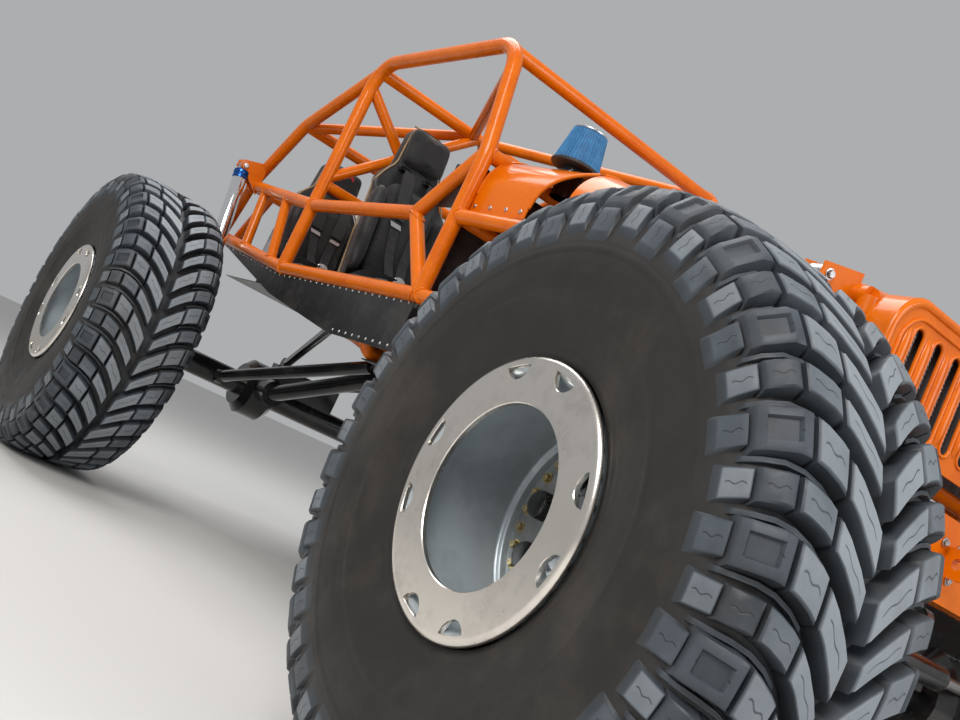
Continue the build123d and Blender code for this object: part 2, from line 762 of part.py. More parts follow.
front_beam_end = kingpin_x - 50
front_parts = axle_beam(front_y, diff_x, front_beam_end) + both(joined(yoke()))
front_parts += both(bracket(front_shock_foot, (front_shock_foot[0], front_y, axle_z + 20)))
front_parts += both(bracket(front_lower[0], (front_lower[0][0], front_y, axle_z)))
front_parts += [box_at((-190, 190), (front_y - 35, front_y + 35), (axle_z + 40, axle_z + diff_radius + 30))]
ram_middle = Pos(ram_centre_x, rod_y, rod_z) * Rot(0, 90, 0)
ram = ram_middle * Cylinder(ram_od / 2, ram_length)
ram_bore = ram_middle * Cylinder((rod_od + 1) / 2, 2 * ram_length)
ram_feet = [box_at((x - 15, x + 15), (rod_y - 8, front_y - 20), (axle_z + 12, rod_z + 8))
            for x in (ram_centre_x - 160, ram_centre_x + 140)]
nodes["axle_front"] = joined(front_parts + ram_feet + [ram]) - [ram_bore] - front_links - front_shocks

rear_parts = axle_beam(rear_y, -diff_x, kingpin_x + 10)
rear_parts += both(bracket(rear_shock_foot, (rear_shock_foot[0], rear_y, axle_z + 20)))
rear_parts += both(bracket(rear_lower[0], (rear_lower[0][0], rear_y, axle_z)))
rear_parts += [box_at((-190, 190), (rear_y - 35, rear_y + 35), (axle_z + 40, axle_z + diff_radius + 30))]
spindle_end = wheel_x - disc_inset - 20
rear_parts += both(rod_between((kingpin_x, rear_y, axle_z), (spindle_end, rear_y, axle_z), spindle_od))
nodes["axle_rear"] = joined(rear_parts) - rear_links - rear_shocks

fitted("links_front", front_links)
fitted("links_rear", rear_links)
fitted("shocks_front", front_shocks)
fitted("shocks_rear", rear_shocks)
fitted("driveshafts", shafts, ["axle_front", "axle_rear", "gearbox"])


def knuckle():
    """The left steering knuckle: kingpin post, flange, spindle and steering arm."""
    x = kingpin_x
    post = Pos(x, front_y, axle_z) * Cylinder(38, 2 * yoke_ear_z - 1)
    flange = box_at((x + 24, x + 46), (front_y - 75, front_y + 75), (axle_z - 75, axle_z + 75))
    spindle = rod_between((x, front_y, axle_z), (spindle_end, front_y, axle_z), spindle_od)
    arm_top = rod_z - rod_od / 2 - 2.5
    arm_line = Polyline((x + 27, front_y - 50), (x + 27, front_y - 130), (eye_x, rod_y))
    arm = extrude(Pos(0, 0, arm_top - 24) * trace(arm_line, 40), amount=24)
    pad = Pos(eye_x, rod_y, arm_top - 12) * Cylinder(30, 24)
    return joined([post, flange, spindle, arm, pad])


left_knuckle = knuckle()
nodes["knuckle_left"] = left_knuckle
nodes["knuckle_right"] = mirror(left_knuckle, about=Plane.YZ)

rod_bar = rod_between((-eye_x, rod_y, rod_z), (eye_x, rod_y, rod_z), rod_od)
rod_eyes = both(Pos(eye_x, rod_y, rod_z) * Cylinder(28, rod_od + 4))
nodes["steer_rod"] = joined([rod_bar] + rod_eyes)

# Wheels, drawn about the X axis with the outboard side at +X


def polygon_ring(x, radius):
    """One many-sided section of the tyre, with a flat facing the floor."""
    plane = Plane(origin=(x, 0, 0), x_dir=(0, 1, 0), z_dir=(1, 0, 0))
    corner = radius / cos(half_pitch)
    return plane * Rot(0, 0, 180 / lug_count) * RegularPolygon(corner, lug_count)


half_width = tyre_width / 2
carcass_radius = lug_flat - tread_depth
carcass_rows = [(half_width, sidewall_radius), (half_width - 58, carcass_radius)]
tyre_rows = [(-x, r) for x, r in carcass_rows] + carcass_rows[::-1]
lug_profile = [(lug_inner, carcass_radius - 15), (lug_inner, lug_flat), (lug_crown, lug_flat),
               (half_width - 4, lug_edge), (half_width - 60, lug_edge)]


def lug():
    """One tread lug of the outboard half, at the top of the tyre, swept forward towards the middle."""
    ends = []
    for edge in (-lug_width / 2, lug_width / 2):
        points = [(x, edge + (x - lug_middle) * tan(radians(lug_sweep)), r) for x, r in lug_profile]
        ends.append(make_face(Polyline(*points, close=True)))
    return loft(ends, ruled=True)


def tyre():
    """A tyre with flat sides, dished sidewalls, a bore for the rim and two staggered rows of lugs."""
    body = loft([polygon_ring(x, r) for x, r in tyre_rows], ruled=True)
    outboard = lug()
    inboard = mirror(outboard, about=Plane.YZ)
    lugs = []
    for index in range(lug_count):
        turn = index * 360 / lug_count
        lugs += [Rot(turn, 0, 0) * outboard, Rot(turn + 180 / lug_count, 0, 0) * inboard]
    body = body + lugs
    for side in (-1, 1):
        outer = polygon_ring(side * (half_width + 0.01), sidewall_radius - 30)
        inner = polygon_ring(side * (half_width - bead_dish), bead_radius + fit_gap)
        body -= loft([outer, inner], ruled=True)
    bore = extrude(polygon_ring(0, bead_radius + fit_gap), amount=tyre_width, both=True)
    return body - bore


def rim():
    """A deep rim: barrel with two lips, centre disc, hub and brake disc."""
    half = rim_width / 2
    inner_r = bead_radius - rim_wall
    disc_x = -disc_inset
    lip_r = bead_radius + rim_lip
    lip_x = half - rim_lip_thick
    barrel = spun([(-half, inner_r), (-half, lip_r), (-lip_x, lip_r), (-lip_x, bead_radius),
                   (lip_x, bead_radius), (lip_x, lip_r), (half, lip_r), (half, inner_r)])
    disc = spun([(disc_x - disc_thick, 0), (disc_x - disc_thick, inner_r + 1), (disc_x, inner_r + 1),
                 (disc_x, 0)])
    cap = spun([(disc_x - 1, 0), (disc_x - 1, 78), (disc_x + 34, 66), (disc_x + 40, 50), (disc_x + 40, 0)])
    hub_start = disc_x - 66
    bore_r = spindle_od / 2 + 0.5
    bore_end = disc_x - 19.5
    hub = spun([(hub_start, bore_r), (hub_start, 74), (disc_x, 74), (disc_x, 0), (bore_end, 0),
                (bore_end, bore_r)])
    brake_x = hub_start + 34
    brake = spun([(brake_x, 70), (brake_x, brake_radius), (brake_x + brake_thick, brake_radius),
                  (brake_x + brake_thick, 70)])
    return joined([barrel, disc, cap, hub, brake])


slot_radius = 238
slot_turns = [side * 17 + quarter * 90 for quarter in range(4) for side in (-1, 1)]


def bead_ring():
    """The outer clamp ring with eight lens-shaped slots, in four pairs."""
    x = rim_width / 2
    ring = spun([(x, ring_opening / 2), (x, ring_od / 2), (x + ring_thick, ring_od / 2),
                 (x + ring_thick, ring_opening / 2)])
    for turn in slot_turns:
        plane = Plane(origin=(x, 0, 0), x_dir=(0, 1, 0), z_dir=(1, 0, 0))
        lens = [RadiusArc((slot_radius, -32), (slot_radius, 32), -34),
                Line((slot_radius, 32), (slot_radius, -32))]
        ring -= extrude(plane * Rot(0, 0, turn) * make_face(lens), amount=3 * ring_thick, both=True)
    return ring


wheel_parts = {"tyre": tyre(), "rim": rim(), "bead_ring": bead_ring()}
corner_rows = [("front_left", front_y, 1), ("front_right", front_y, -1),
               ("rear_left", rear_y, 1), ("rear_right", rear_y, -1)]
for part_name, shape in wheel_parts.items():
    for corner_name, y, side in corner_rows:
        placed = Pos(wheel_x, y, axle_z) * shape
        nodes[part_name + "_" + corner_name] = placed if side > 0 else mirror(placed, about=Plane.YZ)

for name, shape in nodes.items():
    export_step(shape, os.path.join("parts", name + ".step"))
print(len(nodes), "nodes written")
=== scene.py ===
# %% [markdown]
# # Off-road buggy: looks
# This lesson dresses a four-seat tube-frame buggy. The frame, axles, panels and wheels come from the
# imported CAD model, and everything here is placed in that same space: metres, nose to -Y, left to +X.
# Most new pieces are surfaces of two parameters, worked out with numpy as whole arrays.

# %% Load the frame
import json
import math

import bmesh
import bpy
import numpy as np
from mathutils import Matrix, Vector

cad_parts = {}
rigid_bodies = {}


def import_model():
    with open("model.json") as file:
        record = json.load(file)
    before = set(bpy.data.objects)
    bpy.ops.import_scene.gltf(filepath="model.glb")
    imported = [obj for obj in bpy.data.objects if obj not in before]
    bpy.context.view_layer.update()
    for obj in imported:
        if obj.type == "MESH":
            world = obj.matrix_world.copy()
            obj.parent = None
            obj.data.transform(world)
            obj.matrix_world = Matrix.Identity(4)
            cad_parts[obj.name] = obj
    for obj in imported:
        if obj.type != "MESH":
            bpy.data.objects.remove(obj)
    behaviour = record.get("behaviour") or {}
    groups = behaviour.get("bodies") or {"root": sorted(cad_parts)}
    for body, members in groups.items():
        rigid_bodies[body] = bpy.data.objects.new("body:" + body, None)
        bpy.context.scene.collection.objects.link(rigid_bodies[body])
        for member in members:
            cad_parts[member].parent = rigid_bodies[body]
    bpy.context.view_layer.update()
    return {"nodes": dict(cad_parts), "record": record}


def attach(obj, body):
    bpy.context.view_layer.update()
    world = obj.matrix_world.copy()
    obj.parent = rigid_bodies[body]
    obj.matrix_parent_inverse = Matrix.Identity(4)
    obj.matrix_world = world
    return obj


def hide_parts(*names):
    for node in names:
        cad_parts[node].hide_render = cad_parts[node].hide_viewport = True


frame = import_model()
nodes = frame["nodes"]
print("cad nodes", len(nodes))

# %% [markdown]
# ## Patches
# A patch is a pair of arrays: corner points, and faces as rows of point numbers. A grid of points
# gives quads, a revolve is a profile turned about an axis, and a pipe is a ring carried along a path.
# Patches are joined before they become one Blender mesh, so a wheel with all its bolts is one object.

# %% Patch helpers


def grid_patch(points, close_u=False, close_v=False):
    """Quads over an (n, m, 3) grid; a closed direction joins its last row to its first."""
    n, m = points.shape[:2]
    index = np.arange(n * m).reshape(n, m)
    if close_u:
        index = np.vstack([index, index[:1]])
    if close_v:
        index = np.hstack([index, index[:, :1]])
    quads = np.stack([index[:-1, :-1], index[1:, :-1], index[1:, 1:], index[:-1, 1:]], axis=-1)
    return points.reshape(-1, 3), quads.reshape(-1, 4)


def joined(patches):
    """One patch out of many: points one after another, and face numbers shifted to match."""
    counts = np.cumsum([0] + [len(p[0]) for p in patches])
    points = np.concatenate([p[0] for p in patches])
    faces = np.concatenate([p[1] + start for p, start in zip(patches, counts)])
    return points, faces


def flipped(patch):
    """The same patch with its faces looking the other way."""
    return patch[0], patch[1][:, ::-1]


def placed(patch, matrices):
    """Copies of a patch under a stack of (k, 4, 4) matrices, all at once."""
    points, faces = patch
    matrices = np.asarray(matrices, float).reshape(-1, 4, 4)
    four = np.c_[points, np.ones(len(points))]
    moved = np.einsum("kij,nj->kni", matrices, four)[:, :, :3]
    shift = np.arange(len(matrices))[:, None, None] * len(points)
    return moved.reshape(-1, 3), (faces[None] + shift).reshape(-1, 4)


def pipe(path, radius, sides=12, closed=False):
    """A ring carried along a path: each ring stands square to the run; an open end is closed."""
    path = np.asarray(path, float)
    ahead = np.roll(path, -1, 0) - np.roll(path, 1, 0)
    if not closed:
        ahead[0], ahead[-1] = path[1] - path[0], path[-1] - path[-2]
    ahead /= np.linalg.norm(ahead, axis=1, keepdims=True)
    guide = np.eye(3)[np.argmin(np.abs(ahead).max(0))]
    side = np.cross(ahead, guide)
    side /= np.linalg.norm(side, axis=1, keepdims=True)
    up = np.cross(side, ahead)
    angle = np.linspace(0, 2 * np.pi, sides, endpoint=False)
    radius = np.broadcast_to(np.asarray(radius, float), len(path))
    ring = side[:, None] * np.cos(angle)[None, :, None] + up[:, None] * np.sin(angle)[None, :, None]
    points = path[:, None] + ring * radius[:, None, None]
    if not closed:
        ends = [np.repeat(path[i][None, None], sides, 1) for i in (0, -1)]
        points = np.concatenate([ends[0], points, ends[1]])
    return grid_patch(points, close_u=closed, close_v=True)


def smooth_path(corners, steps=40):
    """A soft path near a list of corners: a Catmull-Rom curve, sampled evenly in its parameter."""
    p = np.asarray(corners, float)
    p = np.vstack([2 * p[0] - p[1], p, 2 * p[-1] - p[-2]])
    t = np.linspace(0, len(p) - 3, steps)
    i = np.minimum(t.astype(int), len(p) - 4)
    f = (t - i)[:, None]
    a, b, c, d = p[i], p[i + 1], p[i + 2], p[i + 3]
    square, cube = 2 * a - 5 * b + 4 * c - d, 3 * b - a - 3 * c + d
    return 0.5 * (2 * b + (c - a) * f + square * f ** 2 + cube * f ** 3)


def turned_to(axis, at):
    """A matrix that takes local Z to an axis and the origin to a place."""
    quat = Vector((0, 0, 1)).rotation_difference(Vector(axis))
    return np.array(Matrix.Translation(Vector(at)) @ quat.to_matrix().to_4x4())


def shifted_to(at):
    """A matrix that takes the origin to a place and turns nothing."""
    return np.array(Matrix.Translation(at))


def lathe(profile, segments=24):
    """A profile of (radius, z) rows turned about local Z, closed where its radius is nought."""
    r, z = np.asarray(profile, float).T
    angle = np.linspace(0, 2 * np.pi, segments, endpoint=False)
    ring = np.stack([np.cos(angle), np.sin(angle), np.zeros_like(angle)], axis=-1)
    points = r[:, None, None] * ring[None] + z[:, None, None] * np.array([0, 0, 1.0])
    return flipped(grid_patch(points, close_v=True))


def spun(profile, segments):
    """A profile of (x, radius) rows turned about the X axis; it runs so that its left side faces out."""
    points, faces = lathe(np.asarray(profile, float)[:, ::-1], segments)
    return points[:, ::-1] * (1, -1, 1), faces


# %% [markdown]
# ## Pieces
# A piece is a patch made into an object, given a coat, and tied to the CAD body that carries it.
# The object sits at the origin and its place is in its mesh, so that patterns in object space stay put.

# %% Piece helper
made, coats = {}, {}
crease_angle = math.radians(38)


def piece(name, patches, coat, replaces=(), body="chassis", marks=None, merge=True):
    """An object from patches; marks are named numbers per point that the materials can read.

    Its one material slot holds the coat.
    """
    points, faces = joined(patches) if isinstance(patches, list) else patches
    mesh = bpy.data.meshes.new(name)
    mesh.from_pydata(points.tolist(), [], faces.tolist())
    for mark, values in (marks or {}).items():
        mesh.attributes.new(mark, "FLOAT", "POINT").data.foreach_set("value", np.asarray(values, np.float32))
    mesh.validate()
    if merge:
        work = bmesh.new()
        work.from_mesh(mesh)
        bmesh.ops.remove_doubles(work, verts=work.verts, dist=1e-5)
        bmesh.ops.dissolve_degenerate(work, dist=1e-6, edges=work.edges)
        if all(edge.is_manifold for edge in work.edges):
            bmesh.ops.recalc_face_normals(work, faces=work.faces)
        work.to_mesh(mesh)
        work.free()
    mesh.polygons.foreach_set("use_smooth", np.full(len(mesh.polygons), True))
    mesh.set_sharp_from_angle(angle=crease_angle)
    thing = bpy.data.objects.new(name, mesh)
    bpy.context.scene.collection.objects.link(thing)
    mesh.materials.append(coats[coat])
    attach(thing, body)
    if replaces:
        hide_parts(*replaces)
    made[name] = len(mesh.polygons)
    return thing


# %% [markdown]
# ## Finishes
# Real paint, rubber and metal are never one flat value. One node group, Weathered, mixes a colour with
# its worn or dusty twin under noise, swings the roughness with it, and gives a fine height for bump.
# Each material places that group with values of its own, so a change to the group reaches them all.

# %% Node group helper


def node_group(name, inputs, outputs):
    """An empty shader group with named sockets, and its two end nodes."""
    group = bpy.data.node_groups.new(name, "ShaderNodeTree")
    for label, kind, value in inputs:
        socket = group.interface.new_socket(label, in_out="INPUT", socket_type="NodeSocket" + kind)
        socket.default_value = value
    for label, kind in outputs:
        group.interface.new_socket(label, in_out="OUTPUT", socket_type="NodeSocket" + kind)
    return group, group.nodes.new("NodeGroupInput"), group.nodes.new("NodeGroupOutput")


def add(tree, kind, links=None, **settings):
    """A node with its settings, and links from other sockets into its inputs by name or number."""
    node = tree.nodes.new("ShaderNode" + kind)
    for key, value in settings.items():
        setattr(node, key, value)
    for key, source in (links or {}).items():
        if isinstance(source, bpy.types.NodeSocket):
            tree.links.new(source, node.inputs[key])
        else:
            node.inputs[key].default_value = source
    return node


def maths(tree, operation, *sources):
    """The output of a Math node, from sockets or numbers."""
    return add(tree, "Math", dict(enumerate(sources)), operation=operation).outputs[0]


def mixed(tree, factor, first, second):
    """The output of a colour mix, from sockets or values."""
    node = tree.nodes.new("ShaderNodeMix")
    node.data_type = "RGBA"
    for socket, source in ((node.inputs[0], factor), (node.inputs[6], first), (node.inputs[7], second)):
        if isinstance(source, bpy.types.NodeSocket):
            tree.links.new(source, socket)
        else:
            socket.default_value = source
    return node.outputs[2]


def ramp(tree, value, low, high):
    """A value spread so that low becomes nought and high becomes one."""
    node = add(tree, "MapRange", {"Value": value, "From Min": low, "From Max": high})
    node.clamp = True
    return node.outputs["Result"]


def noise(tree, where, scale, detail=4.0, rough=0.55):
    """Noise over a place."""
    inputs = {"Vector": where, "Scale": scale, "Detail": detail, "Roughness": rough}
    return add(tree, "TexNoise", inputs).outputs["Fac"]


# %% The Weathered group
weathered, w_in, w_out = node_group(
    "Weathered",
    [("Colour", "Color", (0.5, 0.5, 0.5, 1)), ("Worn colour", "Color", (0.6, 0.6, 0.6, 1)),
     ("Wear", "Float", 0.3), ("Wear scale", "Float", 6.0), ("Smooth", "Float", 0.2), ("Dull", "Float", 0.5),
     ("Grain scale", "Float", 300.0), ("Stretch", "Vector", (1, 1, 1))],
    [("Colour", "Color"), ("Roughness", "Float"), ("Height", "Float")])
given = {socket.name: socket for socket in w_in.outputs}
where = add(weathered, "TexCoord").outputs["Object"]
pulled = add(weathered, "VectorMath", {0: where, 1: given["Stretch"]}, operation="MULTIPLY").outputs[0]
broad = noise(weathered, pulled, given["Wear scale"], 5.0, 0.62)
small = noise(weathered, pulled, maths(weathered, "MULTIPLY", given["Wear scale"], 7.0), 3.0)
broad_part, small_part = maths(weathered, "MULTIPLY", broad, 0.7), maths(weathered, "MULTIPLY", small, 0.3)
cloud = maths(weathered, "ADD", broad_part, small_part)
edge = maths(weathered, "SUBTRACT", 0.78, maths(weathered, "MULTIPLY", given["Wear"], 0.55))
mask = ramp(weathered, cloud, maths(weathered, "SUBTRACT", edge, 0.14), edge)
dullness = add(weathered, "MapRange", {"Value": cloud, "From Min": 0.3, "From Max": 0.75,
                                       "To Min": given["Smooth"], "To Max": given["Dull"]}).outputs["Result"]
results = {"Colour": mixed(weathered, mask, given["Colour"], given["Worn colour"]), "Roughness": dullness,
           "Height": noise(weathered, pulled, given["Grain scale"], 2.0)}
for label, result in results.items():
    weathered.links.new(result, w_out.inputs[label])

# %% Material helper


def finish(name, colour, worn, wear, smooth, dull, grain, wear_scale=6.0, bump=0.1, depth=0.0006,
           stretch=(1, 1, 1), **shader):
    """A Principled material fed by the Weathered group; the rest are the shader's own sockets."""
    material = bpy.data.materials.new(name)
    material.use_nodes = True
    tree = material.node_tree
    bsdf = tree.nodes["Principled BSDF"]
    for key, value in shader.items():
        bsdf.inputs[key.replace("_", " ")].default_value = value
    group = tree.nodes.new("ShaderNodeGroup")
    group.node_tree = weathered
    values = {"Colour": (*colour, 1), "Worn colour": (*worn, 1), "Wear": wear, "Wear scale": wear_scale,
              "Smooth": smooth, "Dull": dull, "Grain scale": grain, "Stretch": stretch}
    for key, value in values.items():
        group.inputs[key].default_value = value
    tree.links.new(group.outputs["Colour"], bsdf.inputs["Base Color"])
    tree.links.new(group.outputs["Roughness"], bsdf.inputs["Roughness"])
    lift = add(tree, "Bump", {"Strength": bump, "Distance": depth, "Height": group.outputs["Height"]})
    tree.links.new(lift.outputs[0], bsdf.inputs["Normal"])
    return material


# %% The coats
# Rows are: name, colour, worn colour, wear, smooth, dull, grain, then what differs from the usual.
metal = {"Metallic": 1.0}
coat_rows = [
    ("orange_coat", (.72, .150, .001), (.64, .120, .001), .3, .20, .30, 140,
     {"bump": .12, "depth": .0008, "Coat_Weight": .30, "Coat_Roughness": .04, "Specular_IOR_Level": .2}),
    ("black_panel", (.011, .011, .012), (.03, .028, .026), .35, .25, .42, 420, {"Specular_IOR_Level": .4}),
    ("black_link", (.008, .008, .009), (.03, .027, .024), .25, .12, .3, 200,
     {"Coat_Weight": .4, "Coat_Roughness": .1}),
    ("cast_black", (.02, .02, .021), (.05, .045, .04), .3, .45, .65, 500, {"bump": .4, "depth": .001}),
    ("bright_steel", (.62, .62, .62), (.5, .49, .47), .3, .2, .36, 600, metal),
    ("polished", (.82, .82, .83), (.7, .7, .7), .2, .05, .12, 300, {"bump": .03} | metal),
    ("cast_alloy", (.55, .56, .57), (.42, .42, .42), .35, .3, .5, 700, {"bump": .3} | metal),
    ("wheel_alloy", (.47, .53, .57), (.38, .43, .46), .3, .30, .44, 900,
     {"wear_scale": 4.0, "bump": .15, "depth": .0003, "Metallic": .45}),
    ("ring_alloy", (.80, .75, .69), (.68, .63, .58), .3, .2, .32, 800, {"bump": .1, "depth": .0003} | metal),
    ("hand_grip", (.02, .02, .02), (.04, .038, .036), .3, .5, .7, 800, {"bump": .4}),
    ("core_alloy", (.25, .26, .27), (.12, .12, .12), .5, .4, .6, 300, {"stretch": (12, 1, .4)} | metal),
    ("tank_alloy", (.55, .55, .56), (.42, .42, .42), .35, .28, .45, 500, {"stretch": (1, 1, 6)} | metal),
    ("blue_anodised", (.03, .12, .42), (.02, .08, .3), .2, .18, .28, 600, metal),
    ("yellow_zinc", (.72, .56, .26), (.5, .42, .3), .35, .22, .4, 700, {"wear_scale": 60.0} | metal),
    ("tyre_rubber", (.03, .03, .03), (.05, .045, .04), .4, .42, .72, 260,
     {"wear_scale": 5.0, "bump": .35, "depth": .0012, "Specular_IOR_Level": .45}),
    ("seat_cloth", (.0055, .0055, .0062), (.014, .0135, .0135), .35, .72, .9, 1500,
     {"wear_scale": 14.0, "bump": .6, "depth": .0008, "Sheen_Weight": .12, "Sheen_Roughness": .5}),
    ("seat_side_cloth", (.0075, .0075, .0082), (.018, .017, .017), .3, .5, .7, 700,
     {"wear_scale": 10.0, "bump": .35, "Sheen_Weight": .08}),
    ("webbing", (.010, .010, .011), (.03, .029, .028), .3, .55, .75, 1,
     {"wear_scale": 30.0, "bump": .5, "depth": .0008}),
    ("tan_piping", (.30, .20, .10), (.22, .15, .09), .3, .5, .7, 600, {"wear_scale": 30.0, "bump": .3}),
    ("red_patch", (.45, .012, .014), (.30, .02, .02), .3, .5, .7, 900, {"wear_scale": 60.0, "bump": .4}),
    ("filter_cloth", (.045, .235, .47), (.030, .165, .36), .45, .6, .8, 1400,
     {"wear_scale": 30.0, "bump": .5, "Sheen_Weight": .3}),
    ("braided_strip", (.62, .62, .62), (.30, .30, .30), .5, .25, .45, 900,
     {"wear_scale": 180.0, "bump": .6, "depth": .002} | metal),
]
for *values, rest in coat_rows:
    coats[values[0]] = finish(*values, **rest)
print("coats", len(coats))

# %% [markdown]
# ## Coats for the CAD pieces
# Every carried-over CAD node gets the coat of its slot, or the one that stands in for it. Its mesh
# isn't touched.

# %% Dress the CAD nodes
stand_ins = {"orange_panel": "orange_coat", "tyre_rubber": "hand_grip", "seat_cloth": "hand_grip",
             "filter_blue": "blue_anodised"}
for row in frame["record"]["subparts"]:
    materials, slot = nodes[row["node"]].data.materials, row["material_slot"]
    materials.clear()
    materials.append(coats[stand_ins.get(slot, slot)])

# %% [markdown]
# ## Tyres
# The tread is a table of blocks. A place on the tyre is q, the way out from the middle measured along
# the carcass, s, the way round at the crown, and h, the share of the height from carcass to lug top.
# Rows of blocks lean forward towards the middle by 0.15 (1 - q / 0.2)^2 metres, which gives the V.

# %% Tyre surface
wheel_x, axle_z = 1.05, 0.684747
axle_y = {"front": -1.8, "rear": 1.8}
lug_pitches = 22
crown = 0.6845
foot_depth = 0.002
# Rows are x and radius, from the middle of the tread down the sidewall.
carcass = np.array([
    (0, .643), (.07, .6425), (.14, .639), (.185, .630), (.212, .612), (.228, .585), (.2375, .555),
    (.2435, .52), (.2455, .48), (.2455, .45), (.242, .42), (.236, .39), (.228, .36), (.22, .33),
    (.213, .30), (.2085, .284)])
lug_tops = np.array([
    (0, .6845), (.07, .684), (.14, .680), (.19, .668), (.2155, .652), (.232, .62), (.2405, .585),
    (.2452, .535)])


def lengths(rows):
    """The length of the line up to each row of (x, radius)."""
    return np.r_[0, np.cumsum(np.hypot(*np.diff(rows, axis=0).T))]


carcass_line, top_line = lengths(carcass), lengths(lug_tops)
tread_reach = carcass_line[7]


def tyre_point(q, s, h):
    """The place at q, s and h: a point between carcass and lug top, turned about the axle by s / crown."""
    far = q * top_line[-1] / tread_reach
    low_x, low_r = (np.interp(q, carcass_line, column) for column in carcass.T)
    top_x, top_r = (np.interp(far, top_line, column) for column in lug_tops.T)
    x = low_x * (1 - h) + top_x * h
    r = (low_r - foot_depth) * (1 - h) + top_r * h
    turn = s / crown
    return np.stack([x, -r * np.sin(turn), r * np.cos(turn)], axis=-1)


def lead(q):
    """How far forward a row of blocks lies at q."""
    return 0.15 * np.clip(1 - np.abs(q) / 0.2, 0, 1) ** 2


# %% Tread blocks
pitch = 2 * np.pi * crown / lug_pitches
# Rows are: start and end of q, half width at both, place in the pitch, height, tone, inset panel or not.
# The tone makes the lug top lighter: partly wear, partly a painted sheen.
block_rows = [
    (.012, .092, .034, .031, 0.0, 1.00, 1.00, 0), (.100, .160, .036, .037, 0.0, 0.99, .86, 0),
    (.168, .252, .037, .040, 0.0, 0.98, .52, 1), (.260, .312, .030, .034, 0.0, 0.95, .60, 0),
    (.022, .104, .023, .025, 0.5, 1.00, .95, 0), (.112, .176, .026, .027, 0.5, 0.97, .70, 0),
    (.184, .236, .026, .028, 0.5, 0.95, .48, 0), (.244, .296, .026, .031, 0.5, 0.90, .80, 0),
    (.100, .262, .0045, .0055, 0.265, 0.42, .50, 0), (.100, .262, .0045, .0055, 0.745, 0.42, .50, 0),
]


def tread_block(q0, q1, w0, w1, place, high, tone, inset):
    """A block as a height field over q and across, with bevelled edges and perhaps a stepped panel."""
    bevel, foot = 0.004, 0.003
    tall = high > 0.5
    cuts = [.2, .24, .76, .80] if inset else [.3, .7] if tall else [.2, .4, .6, .8]
    inner = [-.56, -.48, .48, .56] if inset else [-.3, .3] if tall else [0.0]
    q = np.r_[q0 - foot, q0, q0 + bevel, q0 + (q1 - q0) * np.array(cuts), q1 - bevel, q1, q1 + foot]
    across = np.r_[-1.22, -1, -.86, inner, .86, 1, 1.22]
    half = w0 + (w1 - w0) * (q - q0) / (q1 - q0)
    rise_q, rise_s = (np.r_[0, .90, 1, np.ones(len(middle)), 1, .90, 0] for middle in (cuts, inner))
    h = high * np.minimum.outer(rise_q, rise_s)
    if inset:
        h[4:6, 4:6] -= 0.22
    s = place * pitch + lead(q)[:, None] + half[:, None] * across
    points = tyre_point(np.broadcast_to(q[:, None], h.shape), s, h)
    top = h > high * 0.95
    u = np.broadcast_to(((q - q0) / (q1 - q0))[:, None], h.shape)
    v = np.broadcast_to(across, h.shape)
    # Lug tops take their tone, partly wear and partly a painted sheen; the sides get a painted shade that
    # darkens towards the groove floor.
    marks = np.stack([np.where(top, tone, 0.36 + 0.1 * h), u, v, top], axis=-1)
    return points, marks.reshape(-1, 4)


def tread():
    """All blocks of both sides; the right side is a mirror image, half a pitch on."""
    patches, marks = [], []
    turns = np.arange(lug_pitches) * 2 * np.pi / lug_pitches
    for row in block_rows:
        points, block_marks = tread_block(*row)
        x, y, z = np.moveaxis(points, -1, 0)
        for side, shift in ((1, 0.0), (-1, 0.5)):
            for angle in turns + shift * 2 * np.pi / lug_pitches:
                cos, sin = math.cos(angle), math.sin(angle)
                patch = grid_patch(np.stack([x * side, y * cos - z * sin, y * sin + z * cos], axis=-1))
                patches.append(patch if side < 0 else flipped(patch))
                marks.append(block_marks)
    return joined(patches), np.concatenate(marks)


def carcass_skin():
    """The carcass with fine rings on its sidewall, from bead to bead."""
    fine = np.linspace(0, carcass_line[-1], 88)
    x, r = (np.interp(fine, carcass_line, column) for column in carcass.T)
    for middle, wide, high in ((.300, .004, .004), (.318, .003, .002), (.405, .006, .003), (.43, .002, .0015),
                               (.505, .003, .002)):
        x = x + high * np.exp(-((r - middle) / wide) ** 2)
    rows = np.concatenate([np.stack([-x, r], axis=-1)[:0:-1], np.stack([x, r], axis=-1)])
    patch = spun(rows, 132)
    radius = np.hypot(patch[0][:, 1], patch[0][:, 2])
    # Painted shade: the carcass is painted darker from the crown down the sidewall to the bead, so the groove
    # floors and the sidewall by the rim look shaded.
    shade = np.interp(radius, [.28, .50, .60, .64], [.0, .05, .24, .34])
    blank = np.zeros_like(shade)
    return patch, np.stack([shade, blank, blank, blank], axis=-1)


tyre_parts = [tread(), carcass_skin()]
tyre_patch = joined([patch for patch, marks in tyre_parts])
tyre_marks = np.concatenate([marks for patch, marks in tyre_parts])
print("tyre faces", len(tyre_patch[1]))

# %% Rubber
tree = coats["tyre_rubber"].node_tree
bsdf = tree.nodes["Principled BSDF"]
weather = next(node for node in tree.nodes if node.type == "GROUP")
mark_names = ["tone", "block_u", "block_v", "block_top"]
tone, u, v, top = (add(tree, "Attribute", attribute_name=name).outputs["Fac"] for name in mark_names)


def times(*sources):
    """The product of two sockets or numbers in the rubber's tree."""
    return maths(tree, "MULTIPLY", *sources)


